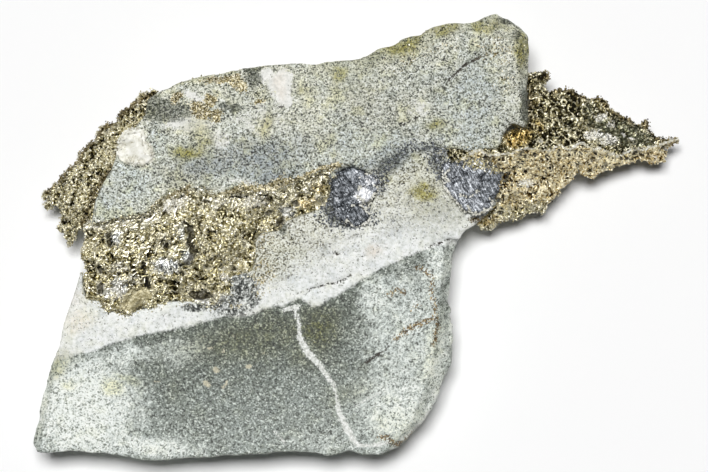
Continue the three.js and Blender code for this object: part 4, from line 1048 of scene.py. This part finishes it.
def make_crystals(stone):
    """The two galena crystals, the calcite lump and the crumbs round them; gives back the crystals."""
    galena, calcite = galena_finish(), calcite_finish()
    crystals, crumbs, grit = [], [], []
    for node, name, dim, white_spots, middle, stony_side in (
            ("galena_right", "galena_by_sheet", 0.0, [], (16.5, 7.2), (-0.6, -0.8)),
            ("galena_middle", "galena_by_seam", 1.0,
             [(1.3, 5.8, 1.2, 1.1, 1, 50), (2.1, 7.9, 0.9, 1.2, 0.4)], (-0.6, 5.1), (0.9, -0.45))):
        crystal = fine_copy(node, name, CRYSTAL_SKIN)
        mesh = crystal.data
        points, outward, place = read_skin(mesh)
        bulge = 0.14 * faceted(points, 0.55, 5) + 0.08 * faceted(points, 0.35, 15)
        bulge += 0.3 * (1 - smooth(outward[:, 2], 0.3, 0.8))
        place_vertices(mesh, points + outward * bulge[:, None])
        # The dim note paints shade: over the crystal by the seam, less towards its upper end, and over the
        # right end of the crystal by the sheet.
        shaded_right_end = smooth(place[:, 0], 16.6, 19.5) * 0.5
        note(mesh, dim=dim * (1 - 0.45 * smooth(place[:, 1], 4.5, 6.5)) + (1 - dim) * shaded_right_end,
             grown_white=patches(frayed(place, 0.8, 0.4, 3), white_spots))
        galena.put_on(crystal)
        finish_piece(crystal, "galena", node)
        flank = (1 - smooth(outward[:, 2], 0.05, 0.4)) * smooth(points[:, 2], 11.8, 12.4)
        stony = smooth((place - middle) @ stony_side, -0.6, 0.8)
        bare = flank * (1 - stony)
        crumbs.append(scatter_grains(crystal, name + "_crumbs", 420, 18, CRUMB, bare, "galena"))
        grit.append(scatter_grains(crystal, name + "_grit", 500, 19, GRIT, flank * stony, "calcite"))
        crystals.append(crystal)
    crumbs.append(scatter_grains(stone, "galena_crumbs", 1500, 16, LOOSE_CRUMB, by_galena(stone), "galena"))
    # The crumbs take a mix of the lit and shaded galena copies.
    for piece in crumbs:
        note(piece.data, dim=np.full(len(piece.data.vertices), 0.6))
    galena.put_on(*crumbs)

    lump = fine_copy("calcite_grain", "calcite_lump", LUMP_SKIN)
    points, outward, _ = read_skin(lump.data)
    facing_up = smooth(outward[:, 2], 0.3, 0.8)
    bulge = 0.10 * rough_stone(points, 1.4, 3, 2) + 0.05 * faceted(points, 1.1, 9)
    bulge += 0.4 * (1 - facing_up) - 0.2 * facing_up
    place_vertices(lump.data, points + outward * bulge[:, None])
    flank = (1 - facing_up) * smooth(points[:, 2], 12, 12.6)
    grit.append(scatter_grains(lump, "lump_grit", 300, 20, LUMP_GRIT, flank, "calcite"))
    calcite.put_on(lump, *grit)
    finish_piece(lump, "calcite", "calcite_grain")
    return crystals


# ---- floor, lights and camera

def area_light(name, place, target, size, power):
    lamp = bpy.data.lights.new(name, "AREA")
    lamp.shape = "RECTANGLE"
    lamp.size, lamp.size_y = size
    lamp.energy = power
    holder = bpy.data.objects.new(name, lamp)
    holder.location = place
    holder.rotation_euler = (Vector(target) - Vector(place)).to_track_quat("-Z", "Y").to_euler()
    bpy.context.scene.collection.objects.link(holder)


def set_stage():
    ground = bmesh.new()
    bmesh.ops.create_grid(ground, x_segments=1, y_segments=1, size=3.0)
    mesh = bpy.data.meshes.new("floor")
    ground.to_mesh(mesh)
    ground.free()
    floor = new_piece("floor", mesh)
    paper = Finish("white_floor")
    paper.shader.inputs["Base Color"].default_value = (0.945, 0.945, 0.945, 1)
    paper.shader.inputs["Roughness"].default_value = 0.9
    paper.put_on(floor)

    world = bpy.data.worlds.new("studio")
    bpy.context.scene.world = world
    world.use_nodes = True
    world.node_tree.nodes["Background"].inputs["Color"].default_value = (0.018, 0.019, 0.020, 1)
    area_light("key", (-0.2, 0.72, 4.0), (-0.2, 0.72, 0), size=(1.15, 0.72), power=171)
    area_light("front", (0.05, -0.6, 0.32), (0, 0, 0), size=(0.5, 0.2), power=0.06)

    view = bpy.data.cameras.new("camera")
    view.sensor_width = 36.0
    view.lens = LENS
    view.clip_start = 0.05
    camera = bpy.data.objects.new("camera", view)
    camera.location = (DRAWING_SHIFT[0] * MM, DRAWING_SHIFT[1] * MM, CAMERA_HEIGHT)
    bpy.context.scene.collection.objects.link(camera)
    bpy.context.scene.camera = camera
    bpy.context.scene.view_settings.view_transform = "Standard"


# ---- where the small silver lies

def lie_of(piece):
    """Where a piece's vertices lie on the drawing."""
    return read_skin(piece.data)[2]


def foil_part(crust):
    return patches(lie_of(crust), [(-29.6, -0.4, 5.4, 3.6, 1, 10), (-31.0, -6.0, 4.0, 3.0, 0.5)])


def off_the_rim(spray):
    return smooth(outside(lie_of(spray), [SPRAY_RIM]), 0.6, 2.0)


def crept_over(crystal):
    """Where silver creeps over the upper end of the galena beside the sheet."""
    return smooth(above(lie_of(crystal), CREPT_OVER), -0.1, 0.4)


def bright_front(sheet):
    return 1 - 0.95 * smooth(above(lie_of(sheet), RIDGE), -0.3, 0.3)


def gap_to(points, pieces, reach):
    """Distance of each point from the nearest of some pieces, or the reach where they are farther away."""
    gap = np.full(len(points), reach)
    for skin in map(faces_of, pieces):
        nearest = [skin.find_nearest(Vector(point), reach)[3] for point in points.tolist()]
        gap = np.minimum(gap, [reach if far is None else far for far in nearest])
    return gap


def by_silver(stone, pieces):
    """Where loose silver lies: beside the silver, along the block's lower edge and where the rock glints."""
    points, _, place = read_skin(stone.data)
    edge = 1 - smooth(np.abs(noted(stone.data, "on_block")), 0.2, 0.9)
    edge *= smooth(place[:, 0], -37, -34) * smooth(-place[:, 0], 1, 4)
    beside = 1 - smooth(gap_to(points, pieces, 1.5), 0.2, 0.9)
    return on_top(points) * np.maximum(np.maximum(0.8 * edge, beside), 0.25 * noted(stone.data, "glinting"))


def under_block(stone):
    """The block's lower wall where it meets the crust."""
    points, outward, place = read_skin(stone.data)
    wall = (1 - smooth(outward[:, 2], 0.5, 0.9)) * (1 - smooth(np.abs(above(place, BLOCK_EDGE)), 0.4, 0.9))
    wall *= smooth(points[:, 2], 11.8, 12.6)
    return wall * smooth(place[:, 0], -37.3, -36) * smooth(-place[:, 0], 2, 4)


def by_galena(stone):
    """Where galena crumbs lie on the stone: beside the crystals and along the dark seam between them."""
    points, _, place = read_skin(stone.data)
    return on_top(points) * patches(place, CRUMBLED)


# Where each silver piece is set into the stone.

def crust_in_stone(place):
    return smooth(place[:, 0], -37.5, -35.5)


def spray_by_block(place):
    return smooth(-outside(place, [SPRAY_FOOT, SPRAY_TOP_SEAT]), -1.2, -0.6)


def sheet_in_stone(place):
    return smooth(-place[:, 0], -22.0, -20.0)


# ---- assembly

PITS = HOLES + pits_along(RIDGE, count=60, seed=21)

stone = make_stone()
silver = silver_finish()
crust = make_silver("silver_front_crust", "silver_crust", CRUST_SKIN,
                    bead=0.42, seed=2, depth=1.0, embedded=crust_in_stone)
spray = make_silver("silver_left_spray", "silver_spray", SPRAY_SKIN,
                    bead=0.38, seed=31, depth=1.6, embedded=spray_by_block)
sheet = make_silver("silver_right_sheet", "silver_sheet", SHEET_SKIN,
                    bead=0.40, seed=71, depth=1.5, embedded=sheet_in_stone)
by_sheet = make_crystals(stone)[0]

# Each host, the name of what lies on it, how many there are, the seed that places them and their size.
silver.put_on(
    crust, spray, sheet,
    scatter_grains(crust, "crust_grains", 4500, 5, FINE_GRAIN),
    scatter_grains(crust, "crust_flakes", 1000, 8, FLAKE, foil_part(crust), heading=30),
    scatter_grains(spray, "spray_grains", 4000, 6, FINE_GRAIN),
    scatter_grains(sheet, "sheet_grains", 4200, 7, FINE_GRAIN),
    scatter_grains(stone, "stray_grains", 4500, 9, STRAY_GRAIN, by_silver(stone, [crust, spray, sheet])),
    scatter_grains(stone, "seam_grains", 1100, 10, SEAM_GRAIN, under_block(stone)),
    scatter_threads(crust, "crust_threads", 2600, 12, 1.2, 0.075),
    scatter_threads(spray, "spray_threads", 1100, 13, 1.1, 0.07, off_the_rim(spray)),
    scatter_threads(sheet, "sheet_threads", 1700, 14, 1.3, 0.08, bright_front(sheet)),
    scatter_grains(by_sheet, "creeping_grains", 450, 26, CREEPING_GRAIN, crept_over(by_sheet)),
    scatter_threads(by_sheet, "creeping_threads", 200, 27, 1.2, 0.09, crept_over(by_sheet)),
    crest_wire(sheet, "sheet_crest_wire", RIDGE, radius=0.18, seed=15),
    pit_rims(crust, "crust_pit_rims", radius=0.09, seed=22),
    pit_rims(sheet, "sheet_pit_rims", radius=0.12, seed=23),
)
set_stage()
